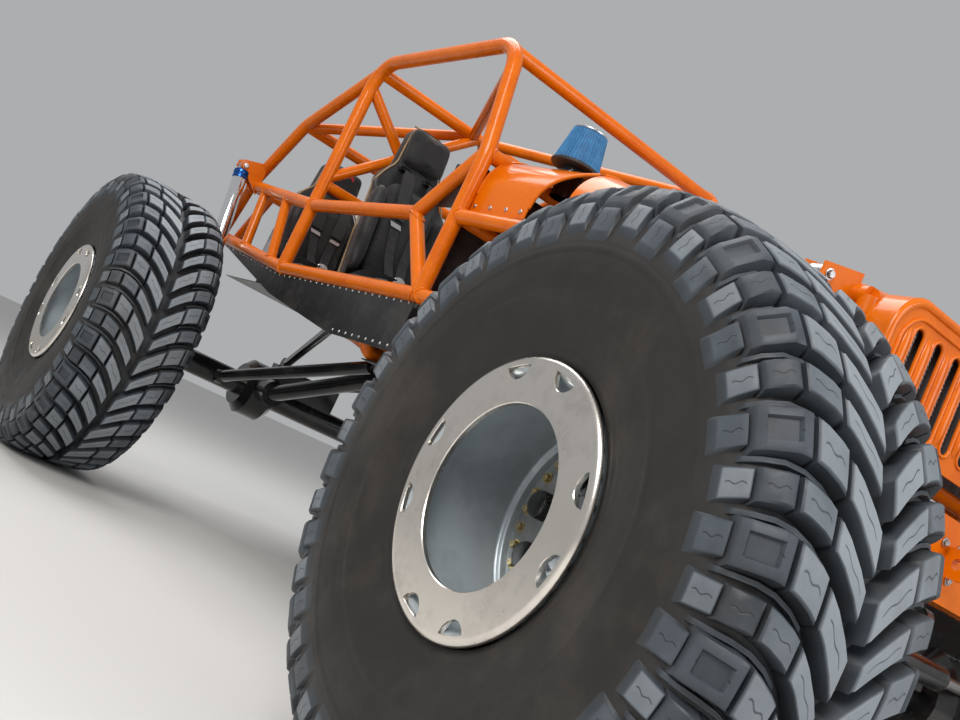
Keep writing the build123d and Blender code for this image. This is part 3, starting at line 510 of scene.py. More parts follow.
where = add(tree, "TexCoord").outputs["Object"]
patchy = noise(tree, where, 9.0, 5.0, 0.6)
swing = times(maths(tree, "SUBTRACT", patchy, 0.5), 0.42)
# The ramp paints light: high values become a light blue-grey, partly wear and partly a painted sheen on the
# lug tops; low values become near black, painted shade on the flanks and in the grooves.
shades = add(tree, "ValToRGB", {"Fac": maths(tree, "ADD", tone, swing)})
colours = shades.color_ramp.elements
colours[0].color = (.013, .0105, .009, 1)
colours[1].color = (.235, .262, .285, 1)
for spot, *colour in ((.22, .024, .022, .021), (.40, .030, .036, .043), (.60, .058, .072, .088)):
    colours.new(spot).color = (*colour, 1)
wave = times(maths(tree, "SINE", times(u, 15.0)), 0.09)
from_line = maths(tree, "ABSOLUTE", maths(tree, "SUBTRACT", v, wave))
in_span = ramp(tree, maths(tree, "ABSOLUTE", maths(tree, "SUBTRACT", u, 0.5)), 0.34, 0.30)
sipe = times(times(ramp(tree, from_line, 0.07, 0.03), in_span), top)
dust_cloud = ramp(tree, noise(tree, where, 3.2, 6.0, 0.65), 0.52, 0.78)
# Real dust is mixed over the ramp's painted sheen and shade.
dust_over_sheen_and_shade = mixed(tree, dust_cloud, shades.outputs[0], (.105, .088, .070, 1))
dusted_sheen_and_shade = mixed(tree, 0.34, shades.outputs[0], dust_over_sheen_and_shade)
tree.links.new(mixed(tree, times(sipe, 0.7), dusted_sheen_and_shade, (.01, .01, .01, 1)), bsdf.inputs["Base Color"])
coarse = times(noise(tree, where, 60.0, 5.0, 0.7), 0.9)
grain = maths(tree, "ADD", times(weather.outputs["Height"], 0.35), coarse)
height = maths(tree, "SUBTRACT", grain, times(sipe, 2.5))


def bump_of(tree):
    """The height input of a material's Bump node."""
    return next(node for node in tree.nodes if node.type == "BUMP").inputs["Height"]


tree.links.new(height, bump_of(tree))

# %% Wheel profiles
# The barrel steps down from the clamp ring to the disc; all profiles run so that their left side faces out.
disc_x = -.040
hub_x = disc_x - .066
brake_x = hub_x + .034
barrel_rows = [(.204, .2735), (.2155, .2735), (.2155, .262), (.212, .2555), (.205, .2495), (.196, .2475),
               (.10, .2440)]
barrel_rows += [(disc_x + x, r) for x, r in
                [(.030, .2395), (.025, .2385), (.021, .2345), (.019, .2290), (.016, .2265), (0, .2255)]]
disc_rows = [(disc_x + x, r) for x, r in
             [(0, .2255), (0, .221), (.002, .2185), (.002, .188), (-.001, .184), (-.001, .112), (.003, .107),
              (.018, .104), (.022, .100), (.022, .088), (.024, .085), (.030, .083), (.032, .080),
              (.032, .040), (.034, .038), (.038, .036), (.040, .033), (.040, .0)]]
back_rows = [(hub_x, .0455), (hub_x, .074), (disc_x - .012, .074), (disc_x - .012, .2465), (-.205, .2475),
             (-.2155, .262), (-.2155, .2735), (-.204, .2735), (-.204, .2545), (.204, .2545), (.204, .2735)]
brake_rows = [(brake_x + x, r) for x, r in
              [(0, .075), (0, .168), (.002, .170), (.018, .170), (.020, .168), (.020, .075)]]


def ring_of(patch, count, radius, x, start=0.0):
    """Copies of a patch that stands on local Z, put in a circle on the wheel with Z turned outboard."""
    out = np.array(Matrix.Rotation(math.pi / 2, 4, "Y"))
    spots = []
    for angle in start + np.arange(count) * 2 * np.pi / count:
        spot = shifted_to((x, -radius * math.sin(angle), radius * math.cos(angle)))
        spots.append(spot @ np.array(Matrix.Rotation(angle, 4, "X")) @ out)
    return placed(patch, spots)


def bolt(radius, high, washer):
    """A hexagon-headed bolt on its washer, standing on local Z."""
    washer_rows = [(0, 0), (washer, 0), (washer, .22), (1.05, .25)]
    head_rows = [(.98, .2), (1, .25), (1, .9), (.86, 1), (.45, 1), (.42, .93), (0, .93)]
    return joined([lathe([(radius * r, high * z) for r, z in rows], segments)
                   for rows, segments in ((washer_rows, 16), (head_rows, 6))])


def cap_screw(radius, high):
    """A socket-headed screw: a round head with a hollow in its top."""
    return lathe([(radius, -.001), (radius, high * .92), (radius * .9, high), (radius * .55, high),
                  (radius * .5, high * .5), (0, high * .5)], 14)


def knurled_cap(radius, high, ribs=24):
    """A round moulded cap whose side is waved with ribs, under a softly domed top."""
    rows = [(1, 0, 1), (1, .1, 1), (1, .78, 1), (.96, .9, .6), (.88, .97, 0), (.6, 1.02, 0), (0, 1.04, 0)]
    angle = np.linspace(0, 2 * np.pi, ribs * 4, endpoint=False)
    swing = np.sin(angle * ribs)
    wave = 1 + .035 * np.sign(swing) * np.abs(swing) ** .5
    circle = np.stack([np.cos(angle), np.sin(angle)], axis=-1)
    points = [np.c_[(radius * r * (1 + (wave - 1) * k))[:, None] * circle, np.full(len(angle), high * z)]
              for r, z, k in rows]
    return flipped(grid_patch(np.array(points), close_v=True))


def clamp_ring():
    """The flat ring with four pairs of D slots: their outer side is a circle, their inner side an arch."""
    x, inner, chord = .2150, .184, .2630
    thick, bevel, count = .0115, .0014, 480
    depth, slot_angle, half = .0285, 16.5, math.radians(7.5)
    face = x + thick
    angle = np.linspace(0, 2 * np.pi, count, endpoint=False)
    centres = [math.radians(90 * quarter + slot_angle * side) for quarter in range(4) for side in (-1, 1)]
    low, edge = np.full(count, chord), np.zeros(count)
    for centre in centres:
        away = (angle - centre + np.pi) % (2 * np.pi) - np.pi
        inside = np.clip(1 - (away / half) ** 2, 0, 1)
        low = low - depth * inside ** .62
        edge = edge + bevel * inside ** .3
    ring = np.stack([np.zeros(count), -np.sin(angle), np.cos(angle)], axis=-1)

    def band(rows, span=None):
        """A strip between circles whose radius may change with the angle, all round or in a span of it."""
        circles = [np.broadcast_to(r, count).reshape(-1, 1) * ring + (along, 0, 0) for along, r in rows]
        points = np.stack(circles) if span is None else np.stack(circles)[:, span]
        return grid_patch(points, close_v=span is None)

    inside_rows = [(x, inner), (face - .002, inner), (face, inner + .002), (face, .205), (face, low - edge)]
    outside_rows = [(face, chord + edge), (face, .268), (face, .2735), (face - .001, .2760),
                    (face - .0030, .2800), (face - .0065, .2825), (x + .001, .283), (x, .2825)]
    patches = [band(inside_rows), band(outside_rows)]
    step = 360 / count
    for centre in centres:
        first, last = (round(math.degrees(centre + turn) / step) for turn in (-half, half))
        span = np.arange(first, last + 1) % count
        patches.append(band([(face, low - edge), (face - bevel, low), (x, low)], span))
        patches.append(band([(x, chord), (face - bevel, chord), (face, chord + edge)], span))
    return joined(patches)


lug_seat = lathe([(.037, -.001), (.037, .003), (.035, .005), (.0295, .005)], 32)
lug_circle = {"count": 8, "radius": .144, "x": disc_x - .001, "start": .2}
# Rows are: piece, coat, slot where it isn't the coat's, CAD nodes it stands for, patches.
wheel_rows = [
    ("rim", "wheel_alloy", None, ["rim"], [spun(barrel_rows, 160), spun(back_rows, 96)]),
    ("disc", "cast_alloy", "wheel_alloy", [], [spun(disc_rows, 128), ring_of(lug_seat, **lug_circle)]),
    ("brake", "cast_black", None, [], [spun(brake_rows, 64)]),
    ("hub_screws", "bright_steel", None, [], [ring_of(cap_screw(.0085, .011), 12, .094, disc_x + .022),
                                              ring_of(cap_screw(.006, .007), 6, .060, disc_x + .032)]),
    ("disc_bolts", "yellow_zinc", "bright_steel", [],
     [ring_of(bolt(.0085, .0120, 1.55), 32, .2035, disc_x + .002, .05)]),
    ("lug_caps", "black_link", None, [], [ring_of(knurled_cap(.0295, .042), **lug_circle)]),
    ("clamp_ring", "ring_alloy", None, ["bead_ring"], [clamp_ring()]),
]

# %% Tyres and wheels


def on_corner(patch, end, side):
    """A wheel's patch, drawn for the left about the X axis, moved to its corner of the car."""
    points, faces = patch
    moved = points * (side, 1, 1) + (side * wheel_x, axle_y[end], axle_z)
    return moved, faces if side > 0 else faces[:, ::-1]


sides = ((1, "left"), (-1, "right"))
marks = dict(zip(mark_names, tyre_marks.T))
for end in ("front", "rear"):
    for side, word in sides:
        corner = "_" + end + "_" + word
        body = "wheel" + corner
        piece("tyre" + corner, on_corner(tyre_patch, end, side), "tyre_rubber", ["tyre" + corner], body,
              marks, merge=False)
        for part, coat, slot, stands_for, patches in wheel_rows:
            piece(part + corner, on_corner(joined(patches), end, side), coat,
                  [node + corner for node in stands_for], body)
print("tyres and wheels", len(made))

# %% [markdown]
# ## Seats
# A bucket's shell is a rounded slab that follows an outline. Each padded piece is its own object: a
# closed rounded form, swollen by a short cloth simulation with pressure and no gravity, and applied.
# The outline's half width at each height of the back is read from a short table.

# %% Seat places
seat_lean = math.radians(12)
seat_base, seat_lift = 1.1533, .060
seat_x, hoop_y = .276, 1.280
# Rows are: end, the seat's place along the car, the back's height and the pan's depth.
seat_rows = [("front", hoop_y - .365, .915, .450), ("rear", hoop_y + .440, .735, .400)]


def rounded_pad(size, rounding, steps, centre=(0, 0, 0)):
    """A closed box whose corners are drawn in: each point of a cube goes to a superellipsoid's surface."""
    patches = []
    power = 2 / rounding
    for axis in range(3):
        a, b = [k for k in range(3) if k != axis]
        for end in (-1, 1):
            cube = np.full((steps[a] + 1, steps[b] + 1, 3), float(end))
            rows, columns = (np.linspace(-1, 1, steps[k] + 1) for k in (a, b))
            cube[..., a], cube[..., b] = np.meshgrid(rows, columns, indexing="ij")
            length = (np.abs(cube) ** power).sum(-1, keepdims=True) ** (1 / power)
            patch = grid_patch(cube / length * np.asarray(size) / 2 + centre)
            patches.append(patch if (end > 0) == (axis != 1) else flipped(patch))
    return joined(patches)


def leaned(points, at):
    """From the back's own space (x across, y rearward, z up the back) to the seat leaning at its place."""
    x, y, z = np.moveaxis(np.asarray(points, float), -1, 0)
    cos, sin = math.cos(seat_lean), math.sin(seat_lean)
    return np.stack([x + at[0], y * cos + z * sin + at[1], z * cos - y * sin + seat_lift + at[2]], axis=-1)


def back_half(share, half):
    """The back's half width at a share of its height: full at the ribs, in at the neck, out at the head."""
    return half * np.interp(share, [0, .08, .35, .62, .70, .76, .84, .95, 1.0],
                            [.90, .98, 1.0, .97, .80, .60, .56, .50, .36])


def seat_back_shell(back, half, at):
    """The shell behind the back: a slab about y .073 whose edge is rolled forward at the wings."""
    middle, thick, reach = .073, .036, .085
    share = np.r_[0, 0, np.linspace(.02, .98, 34), 1, 1]
    wide = back_half(share, half)[:, None]
    around = np.linspace(0, 2 * np.pi, 40, endpoint=False)
    x = np.sign(np.cos(around)) * np.abs(np.cos(around)) ** .35
    y = thick * np.sign(np.sin(around)) * np.abs(np.sin(around)) ** .6
    closing = np.r_[0, .9, np.ones(len(share) - 4), .9, 0][:, None]
    wing = np.interp(share, [0, .1, .55, .66, 1], [.0, reach, reach, .0, .0])[:, None]
    pull = np.clip(np.abs(x) - .8, 0, 1) / .2
    points = np.stack([wide * x * closing, middle + y * closing - wing * pull,
                       np.broadcast_to((share * back)[:, None], (len(share), len(x)))], axis=-1)
    return grid_patch(leaned(points, at), close_v=True)


def piping(path):
    """A soft bead along a seam."""
    return pipe(path, .0045, 8)


# %% Cloth simulation
simulated = {}


def swollen(thing, cap, pressure=4.0, frames=20, voxel=.0060):
    """Swells a closed mesh with Cloth under pressure, but no point further than a cap."""
    remesh = thing.modifiers.new("remesh", "REMESH")
    remesh.mode, remesh.voxel_size = "VOXEL", voxel
    apply_modifiers(thing)
    before = np.empty(len(thing.data.vertices) * 3)
    thing.data.vertices.foreach_get("co", before)
    cloth = thing.modifiers.new("cloth", "CLOTH")
    settings = cloth.settings
    settings.use_pressure, settings.uniform_pressure_force = True, pressure
    settings.effector_weights.gravity = 0
    settings.quality = 4
    settings.mass = .3
    settings.tension_stiffness = settings.compression_stiffness = 18
    cloth.point_cache.frame_start, cloth.point_cache.frame_end = 1, frames
    scene = bpy.context.scene
    for number in range(1, frames + 1):
        scene.frame_set(number)
    apply_modifiers(thing)
    scene.frame_set(1)
    after = np.empty(len(before))
    thing.data.vertices.foreach_get("co", after)
    move = (after - before).reshape(-1, 3)
    far = np.linalg.norm(move, axis=1, keepdims=True)
    move *= np.minimum(1, cap / np.maximum(far, 1e-9))
    thing.data.vertices.foreach_set("co", (before.reshape(-1, 3) + move).ravel())
    simulated[thing.name] = round(float(far.max()), 4)


def apply_modifiers(thing):
    """The evaluated mesh becomes the object's own, with no modifier left."""
    graph = bpy.context.evaluated_depsgraph_get()
    mesh = bpy.data.meshes.new_from_object(thing.evaluated_get(graph))
    thing.modifiers.clear()
    thing.data = mesh


def cushion(name, patches, coat, cap):
    """A seat on the right is the one on the left moved across, so its pads take the left ones' meshes.
    """
    thing = piece(name, patches, coat)
    if name.endswith("_right"):
        thing.data = bpy.data.objects[name.replace("_right", "_left")].data.copy()
        thing.data.transform(Matrix.Translation((-2 * seat_x, 0, 0)))
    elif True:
        parent = thing.parent
        thing.parent = None
        swollen(thing, cap)
        thing.parent = parent
    thing.data.polygons.foreach_set("use_smooth", np.ones(len(thing.data.polygons), bool))


# %% Ribs in the webbing
weave = coats["webbing"].node_tree
rib_links = {"Vector": add(weave, "TexCoord").outputs["Object"], "Scale": 190.0, "Distortion": 0.6}
weave.links.new(add(weave, "TexWave", rib_links, bands_direction="Z").outputs["Fac"], bump_of(weave))

# %% Build the four seats


def strap(points, width, thick=.0028, across=(1, 0, 0)):
    """Flat webbing along a path: a thin closed strip whose width lies along a given direction."""
    path = np.asarray(points, float)
    side = np.broadcast_to(np.asarray(across, float), path.shape)
    ahead = np.gradient(path, axis=0)
    ahead /= np.linalg.norm(ahead, axis=1, keepdims=True)
    up = np.cross(side, ahead)
    up /= np.linalg.norm(up, axis=1, keepdims=True)
    half = width / 2
    ring = [(-half, -thick / 2), (-half, thick / 2), (-half * .94, thick * .7), (half * .94, thick * .7),
            (half, thick / 2), (half, -thick / 2)]
    rows = np.stack([path + side * a + up * b for a, b in ring], axis=1)
    ends = [np.repeat(path[i][None, None], len(ring), 1) for i in (0, -1)]
    return grid_patch(np.concatenate([ends[0], rows, ends[1]]), close_v=True)


def seat_shell(name, at, back, pan):
    """The hard shell with its base, and the rims of the two slots that the shoulder straps run through."""
    base = rounded_pad((.424, pan + .108, .056), .18, (18, 18, 4),
                       (at[0], at[1] + (.11 - pan) / 2, at[2] + .028))
    piece("seat_shell" + name, [seat_back_shell(back, shell_half, at), base], "seat_side_cloth",
          ["seat" + name])
    rims = []
    for x in (-.072, .072):
        angle = np.linspace(0, 2 * np.pi, 24, endpoint=False)
        wide = .034 * np.cos(angle) * (1.15 - .15 * np.abs(np.cos(angle)))
        ring = np.stack([x + wide, np.full(24, .034), back * .745 + .0135 * np.sin(angle)], axis=-1)
        rims.append(pipe(leaned(ring, at), .0055, 8, closed=True))
    piece("seat_slots" + name, rims, "black_link")


def seat_pads(name, at, back, pan):
    """The padded pieces: back, head, base, and a wing and a thigh bolster on each side."""
    def on_back(patch, move):
        """A pad drawn about its middle, put at a place on the back."""
        return leaned(patch[0] + move, at), patch[1]

    low, top = .11, back * .66
    main = rounded_pad((.285, .070, top - low), .28, (14, 6, 22))
    cushion("seat_back_pad" + name, on_back(main, (0, .018, (top + low) / 2)), "seat_cloth", .010)
    head = rounded_pad((.215, .060, back * .20), .34, (12, 6, 12))
    cushion("seat_head_pad" + name, on_back(head, (0, .018, back * .875)), "seat_cloth", .010)
    base = rounded_pad((.300, pan * .92, .075), .26, (14, 18, 6), (at[0], at[1] - pan * .46, at[2] + .085))
    cushion("seat_base_pad" + name, base, "seat_cloth", .010)
    for s, tag in ((1, "_l"), (-1, "_r")):
        points, faces = rounded_pad((.052, .125, back * .46), .42, (6, 10, 18))
        turned = points @ np.array(Matrix.Rotation(s * .22, 3, "Z")).T
        cushion("seat_wing" + tag + name, on_back((turned, faces), (s * .180, -.012, back * .35)),
                "seat_side_cloth", .007)
        thigh = rounded_pad((.058, pan * .88, .110), .40, (6, 18, 8),
                            (at[0] + s * .184, at[1] - pan * .47, at[2] + .105))
        cushion("seat_thigh" + tag + name, thigh, "seat_side_cloth", .007)

    shares, across = np.linspace(.06, .965, 30), np.linspace(-.100, .100, 12)
    seams = [np.stack([s * (back_half(shares, shell_half) - .004), np.full(30, .040), shares * back], axis=-1)
             for s in (-1, 1)]
    seams.append(np.stack([across, np.full(12, .036), np.full(12, back * .985)], axis=-1))
    piece("seat_piping" + name, [piping(leaned(seam, at)) for seam in seams], "tan_piping")
    patch = rounded_pad((.098, .004, .042), .2, (8, 2, 4))
    piece("seat_patch" + name, on_back(patch, (.0, -.0165, back * .91)), "red_patch")


def harness(name, at, back):
    """Shoulder and lap straps lying on the seat, with their pads, buckles and the round hub."""
    belts, buckles, pads = [], [], []
    for s in (-1, 1):
        shoulder = [(s * x, y, back * share) for x, y, share in
                    [(.072, .060, .745), (.072, .030, .742), (.070, -.016, .715), (.066, -.030, .60),
                     (.055, -.034, .42), (.040, -.048, .26), (.030, -.085, .16)]]
        belts.append(strap(leaned(smooth_path(shoulder, 36), at), .048))
        pad = [(s * x, y, back * share) for x, y, share in
               [(.070, -.020, .70), (.067, -.036, .60), (.058, -.040, .46)]]
        pads.append(strap(leaned(smooth_path(pad, 16), at), .062, .009))
        lap = [(s * x, y, z) for x, y, z in
               [(.205, -.02, .02), (.185, -.06, .075), (.13, -.105, .105), (.05, -.135, .108),
                (.02, -.14, .108)]]
        belts.append(strap(leaned(smooth_path(lap, 20), at), .048, across=(0, -.35, .93)))
        tongue = smooth_path([(s * .062, -.036, back * .44), (s * .055, -.040, back * .415)], 6)
        buckles.append(strap(leaned(tongue, at), .056, .006))
    hub_rows = [(0, -.004), (.032, -.004), (.034, 0), (.034, .010), (.030, .015), (.012, .018), (0, .018)]
    hub = lathe(hub_rows, 28)
    buckles.append(placed(hub, turned_to((0, -.9, .45), leaned([(0, -.135, .115)], at)[0])))
    piece("harness" + name, belts, "webbing")
    piece("harness_pads" + name, pads, "seat_side_cloth")
    piece("harness_buckles" + name, buckles, "bright_steel")


shell_half = .210
for end, y, back, pan in seat_rows:
    for side, word in sides:
        name, at = "_" + end + "_" + word, (side * seat_x, y, seat_base)
        seat_shell(name, at, back, pan)
        seat_pads(name, at, back, pan)
        harness(name, at, back)
print("seats done, swollen pads", len(simulated), "largest move", max(simulated.values(), default=0))

# %% [markdown]
# ## Shocks, filter and grille
# A shock is drawn along its own axis from the upper eye, and then turned to stand between its two pins.
# The spring is a helix: x = R cos t, y = R sin t, z rising by one pitch a turn.

# %% Shocks
axle_top = axle_z + .085
# Rows are: end, the left upper pin and the left lower pin.
shock_rows = [("front", (.550, -1.65, 1.497), (.630, -1.705, axle_top)),
              ("rear", (.705, 2.08, 1.695), (.640, 1.895, axle_top))]


def helix(radius, start, end, turns, steps=22):
    """Points of a spring whose two end turns lie closer together than the rest."""
    t = np.linspace(0, 1, int(turns * steps))
    rise = np.interp(t, [0, 1 / turns, 1 - 1 / turns, 1], [0, .35 / turns, 1 - .35 / turns, 1])
    angle = t * turns * 2 * np.pi
    return np.stack([radius * np.cos(angle), radius * np.sin(angle), start + (end - start) * rise], axis=-1)


def shock_patches(length):
    """Body, caps, and spring with its seats, along local Z from the upper pin at the origin."""
    split = length * .56 + .04
    foot = length - .045
    body_rows = [(.034, .052), (.036, .055), (.036, split - .028), (.034, split - .022), (.020, split - .020)]
    rod_rows = [(.013, split - .03), (.013, length - .02)]
    cap_rows = [(.018, .018), (.030, .024), (.0385, .030), (.0395, .034), (.0395, .050), (.0375, .054),
                (.0375, .058), (.0395, .062), (.0395, .070), (.0365, .073)]
    collar_rows = [(r, split - z) for r, z in [(.036, .050), (.0395, .048), (.0395, .030), (.0375, .026)]]
    cup_rows = [(r, split - z) for r, z in
                [(.030, .024), (.053, .020), (.054, .012), (.050, .008), (.030, .006)]]
    foot_rows = [(.016, foot - .004), (.050, foot), (.053, foot + .006), (.050, foot + .012),
                 (.024, foot + .018), (.018, length - .020)]
    spring = pipe(helix(.0455, split, foot - .004, 9.5), .0058, 8)
    return {"bodies": [lathe(body_rows, 40), lathe(rod_rows, 20)],
            "caps": [lathe(cap_rows, 40), lathe(collar_rows, 40)],
            "springs": [spring, lathe(cup_rows, 36), lathe(foot_rows, 36)]}


def pin_eye(radius=.0225, wide=.050):
    """A forged eye with its bush, about an axis on local Z."""
    bore, half = radius * .58, wide / 2
    ring = lathe([(bore, -half), (radius, -half + .002), (radius, half - .002), (bore, half)], 28)
    bush = lathe([(.0, -half - .001), (bore, -half - .001), (bore, half + .001), (0, half + .001)], 20)
    return joined([ring, bush])


bolt_head = bolt(.0105, .010, 1.4)
bolt_reach = .0345
shock_coats = {"bodies": "polished", "caps": "blue_anodised", "springs": "black_link", "eyes": "bright_steel"}
for end, top, foot in shock_rows:
    parts = {part: [] for part in shock_coats}
    for side in (1, -1):
        a, b = Vector((side * top[0], *top[1:])), Vector((side * foot[0], *foot[1:]))
        stand = turned_to((b - a).normalized(), a)
        for part, patches in shock_patches((b - a).length).items():
            parts[part] += [placed(patch, stand) for patch in patches]
        parts["eyes"] += [placed(pin_eye(), turned_to((0, 1, 0), spot)) for spot in (a, b)]
        parts["eyes"] += [placed(bolt_head, turned_to((0, way, 0), a + Vector((0, way * bolt_reach, 0))))
                          for way in (-1, 1)]
    for part, coat in shock_coats.items():
        piece("shock_" + part + "_" + end, parts[part], coat,
              ["shocks_" + end] if part == "bodies" else ())
print("shocks")

# %% Air filter
filter_at = shifted_to((-.390, -.250, 1.860))
pleats, pleat_depth = 42, .105
angle = np.linspace(0, 2 * np.pi, pleats * 6, endpoint=False)
fold = 1 - pleat_depth * np.abs(np.sin(angle * pleats / 2)) ** .8
height_rows = np.linspace(.010, .142, 9)[:, None]
wide_rows = np.interp(height_rows, [.0, .155], [.0905, .0635])
folds = np.stack([wide_rows * fold * np.cos(angle), wide_rows * fold * np.sin(angle),
                  np.broadcast_to(height_rows, (9, len(angle)))], axis=-1)
top_rows = [(.058, .1405), (.0635, .1410), (.0645, .1435), (.0640, .1465), (.0600, .1490), (.046, .1545),
            (.038, .1545), (.036, .150), (0, .150)]
base_rows = [(.0, .0), (.090, .0), (.0925, .003), (.0925, .010), (.088, .013), (.080, .013)]
clip_rows = [(.0445, -.040), (.050, -.040), (.051, -.036), (.051, -.022), (.050, -.018), (.0445, -.018)]
neck = joined([lathe([(.0445, -.118), (.0445, -.001)], 36), lathe(clip_rows, 36)])
pleated = flipped(grid_patch(folds, close_v=True))
filter_rows = [("pleats", pleated, "filter_cloth", "filter_blue", ["air_filter"]),
               ("top", lathe(top_rows, 64), "bright_steel", "polished", []),
               ("base", lathe(base_rows, 64), "hand_grip", "polished", []),
               ("neck", neck, "black_link", None, [])]
for name, patch, coat, slot, stands_for in filter_rows:
    piece("filter_" + name, placed(patch, filter_at), coat, stands_for)

# %% Grille dressing
face_y, grille_half, grille_base, grille_top, corner_r = -1.820, .450, 1.205, 1.540, .110
slot_count, slot_z, slot_high, slot_wide, slot_pitch = 9, 1.3575, .225, .038, .084
braid_half, braid_twists = .13, 260


def upright(x, y, z):
    """A path from its three coordinates, any of which may be one number for all points."""
    return np.stack(np.broadcast_arrays(x, y, z), axis=-1)


def arch_path(half, base, top, corner, y, steps=14):
    """A line up one side, round both shoulders and down the other, at one y."""
    turn = np.linspace(0, np.pi / 2, steps)
    left = np.stack([-half + corner - corner * np.cos(turn), top - corner + corner * np.sin(turn)], axis=-1)
    rows = np.concatenate([[(-half, base)], left, left[::-1] * (-1, 1), [(half, base)]])
    return upright(rows[:, 0], y, rows[:, 1])


def slot_path(x, grow, y, steps=12):
    """The rounded outline of one upright slot."""
    r = slot_wide / 2 + grow
    rise = slot_high / 2 - slot_wide / 2
    turn = np.linspace(0, np.pi, steps)
    up = np.stack([x + r * np.cos(turn), slot_z + rise + r * np.sin(turn)], axis=-1)
    down = np.stack([x - r * np.cos(turn), slot_z - rise - r * np.sin(turn)], axis=-1)
    rows = np.concatenate([up, down])
    return upright(rows[:, 0], y, rows[:, 1])


slots = [(k - (slot_count - 1) / 2) * slot_pitch for k in range(slot_count)]
trim = []
for inset, drop, tighter, behind, radius, count in ((.012, .012, .008, .006, .0135, 14),
                                                    (.047, .046, .030, -.001, .0050, 10)):
    arch = arch_path(grille_half - inset, grille_base + .004, grille_top - drop, corner_r - tighter,
                     face_y + behind)
    trim.append(pipe(arch, radius, count))
trim += [pipe(slot_path(x, .0035, face_y + .001), .0055, 10, closed=True) for x in slots]
z = np.linspace(slot_z - slot_high / 2 + .004, slot_z + slot_high / 2 - .004, 16)
swell = .0145 * np.clip(1 - (np.abs(z - slot_z) / (slot_high / 2)) ** 6, .05, 1)
trim += [pipe(upright((k - slot_count / 2) * slot_pitch, face_y + .004, z), swell, 14)
         for k in range(slot_count + 1)]
piece("grille_trim", trim, "orange_coat")
z = np.linspace(slot_z - braid_half, slot_z + braid_half, 60)
twist = (z - slot_z) * braid_twists
swing_x, swing_y = .006 * np.sin(twist), .004 * np.cos(twist)
strips = []
for x in slots:
    for side in (-1, 1):
        strand = upright(x + .004 + side * swing_x, face_y + .020 + side * swing_y, z)
        strips.append(pipe(strand, .0038, 6))
piece("grille_strips", strips, "braided_strip")
print("grille")

# %% [markdown]
# ## Cowl and welds
# A weld is the line where one tube meets another. Each point of a ring on the branch is slid along the
# branch until its distance from the main tube's axis is the main radius, which is a quadratic.

# %% Cowl edges
# The cowl's y, half width and top at its front and rear edge, and the round cut in each side.
cowl_ends, cowl_halves, cowl_tops, cowl_corner = (-.49, .005), (.525, .570), (1.835, 1.855), .170
cut_y, cut_z, cut_r, cut_floor = -.550, 1.595, .230, 1.59
arc = np.linspace(math.radians(8), math.radians(112), 40)
y, z = cut_y + cut_r * np.cos(arc), cut_z + cut_r * np.sin(arc)
keep = (y > -.488) & (z > cut_floor)
y, z = y[keep], z[keep]
over = np.clip((z - np.interp(y, cowl_ends, cowl_tops) + cowl_corner) / cowl_corner, 0, 1)
x = np.interp(y, cowl_ends, cowl_halves) - cowl_corner * (1 - np.sqrt(1 - over ** 2)) - .002
edges = [pipe(upright(side * x, y, z), .0065, 10) for side in (-1, 1)]
for y, half, top, lowest in ((-.4905, .5225, 1.8365, 1.818), (-.012, .569, 1.8565, 1.66)):
    rows = arch_path(half, 1.66, top, cowl_corner, y, 40)
    edges.append(pipe(rows[rows[:, 2] >= lowest], .0045, 8))
run = np.linspace(0, 1, 20)
edges += [pipe(upright(side * (.400 - .045 * run), -.02 - .45 * run, 1.8545 - .0195 * run), .0042, 8)
          for side in (-1, 1)]
piece("cowl_edges", edges, "orange_coat")


def slotted_screw(radius):
    """A flat quarter-turn fastener with a hollow in its middle."""
    return lathe([(radius, -.001), (radius, .0025), (radius - .001, .0035), (.002, .0035), (.002, .0022),
                  (0, .0022)], 18)


hood_start, hood_run = -.492, 1.208
fasteners = []
for side in (-1, 1):
    for y in (-.03, -.12, -.21, -.29):
        spot = (side * np.interp(y, cowl_ends, cowl_halves), y, 1.612)
        fasteners.append(placed(slotted_screw(.0085), turned_to((side, 0, 0), spot)))
    for y in np.linspace(-.56, -1.62, 7):
        share = (hood_start - y) / hood_run
        x, top = (first + (last - first) * share for first, last in ((.520, .400), (1.835, 1.555)))
        spot = (side * (x - .001), y, top - cowl_corner + .060 * share - .02)
        fasteners.append(placed(slotted_screw(.0095), turned_to((side, -.08, .1), spot)))
piece("panel_fasteners", fasteners, "bright_steel")

# %% Weld beads
low_z, mid_z, node_z = 1.235, 1.555, 1.815
half_frame, pillar_y, bead_lift = .595, .010, .0008


def weld(at, ahead, radius, main_ahead, main_radius, bead=.0042):
    """A rippled bead round the line where a branch tube leaves a main tube at a point on both axes."""
    at, d, m = (np.asarray(values, float) for values in (at, ahead, main_ahead))
    d, m = d / np.linalg.norm(d), m / np.linalg.norm(m)
    u = np.cross(d, np.eye(3)[np.argmin(np.abs(d))])
    u /= np.linalg.norm(u)
    v = np.cross(d, u)
    angle = np.linspace(0, 2 * np.pi, 44, endpoint=False)
    start = at + (radius + bead_lift) * (np.cos(angle)[:, None] * u + np.sin(angle)[:, None] * v)
    p = start - at
    p = p - (p @ m)[:, None] * m
    q = d - (d @ m) * m
    a, b, c = q @ q, 2 * p @ q, (p * p).sum(1) - (main_radius + bead_lift) ** 2
    far = (-b + np.sqrt(np.clip(b * b - 4 * a * c, 0, None))) / (2 * a)
    return pipe(start + far[:, None] * d, bead * (1 + .16 * np.cos(angle * 22)), 6, closed=True)


def rear_mid(back):
    """The height of the rear frame's upper rail at a distance behind the hoop."""
    return mid_z + .09 * back / .885


def rear_low(back):
    """The height of the rear frame's lower rail at a distance behind the hoop."""
    return low_z + .13 * back / 1.15


x = half_frame
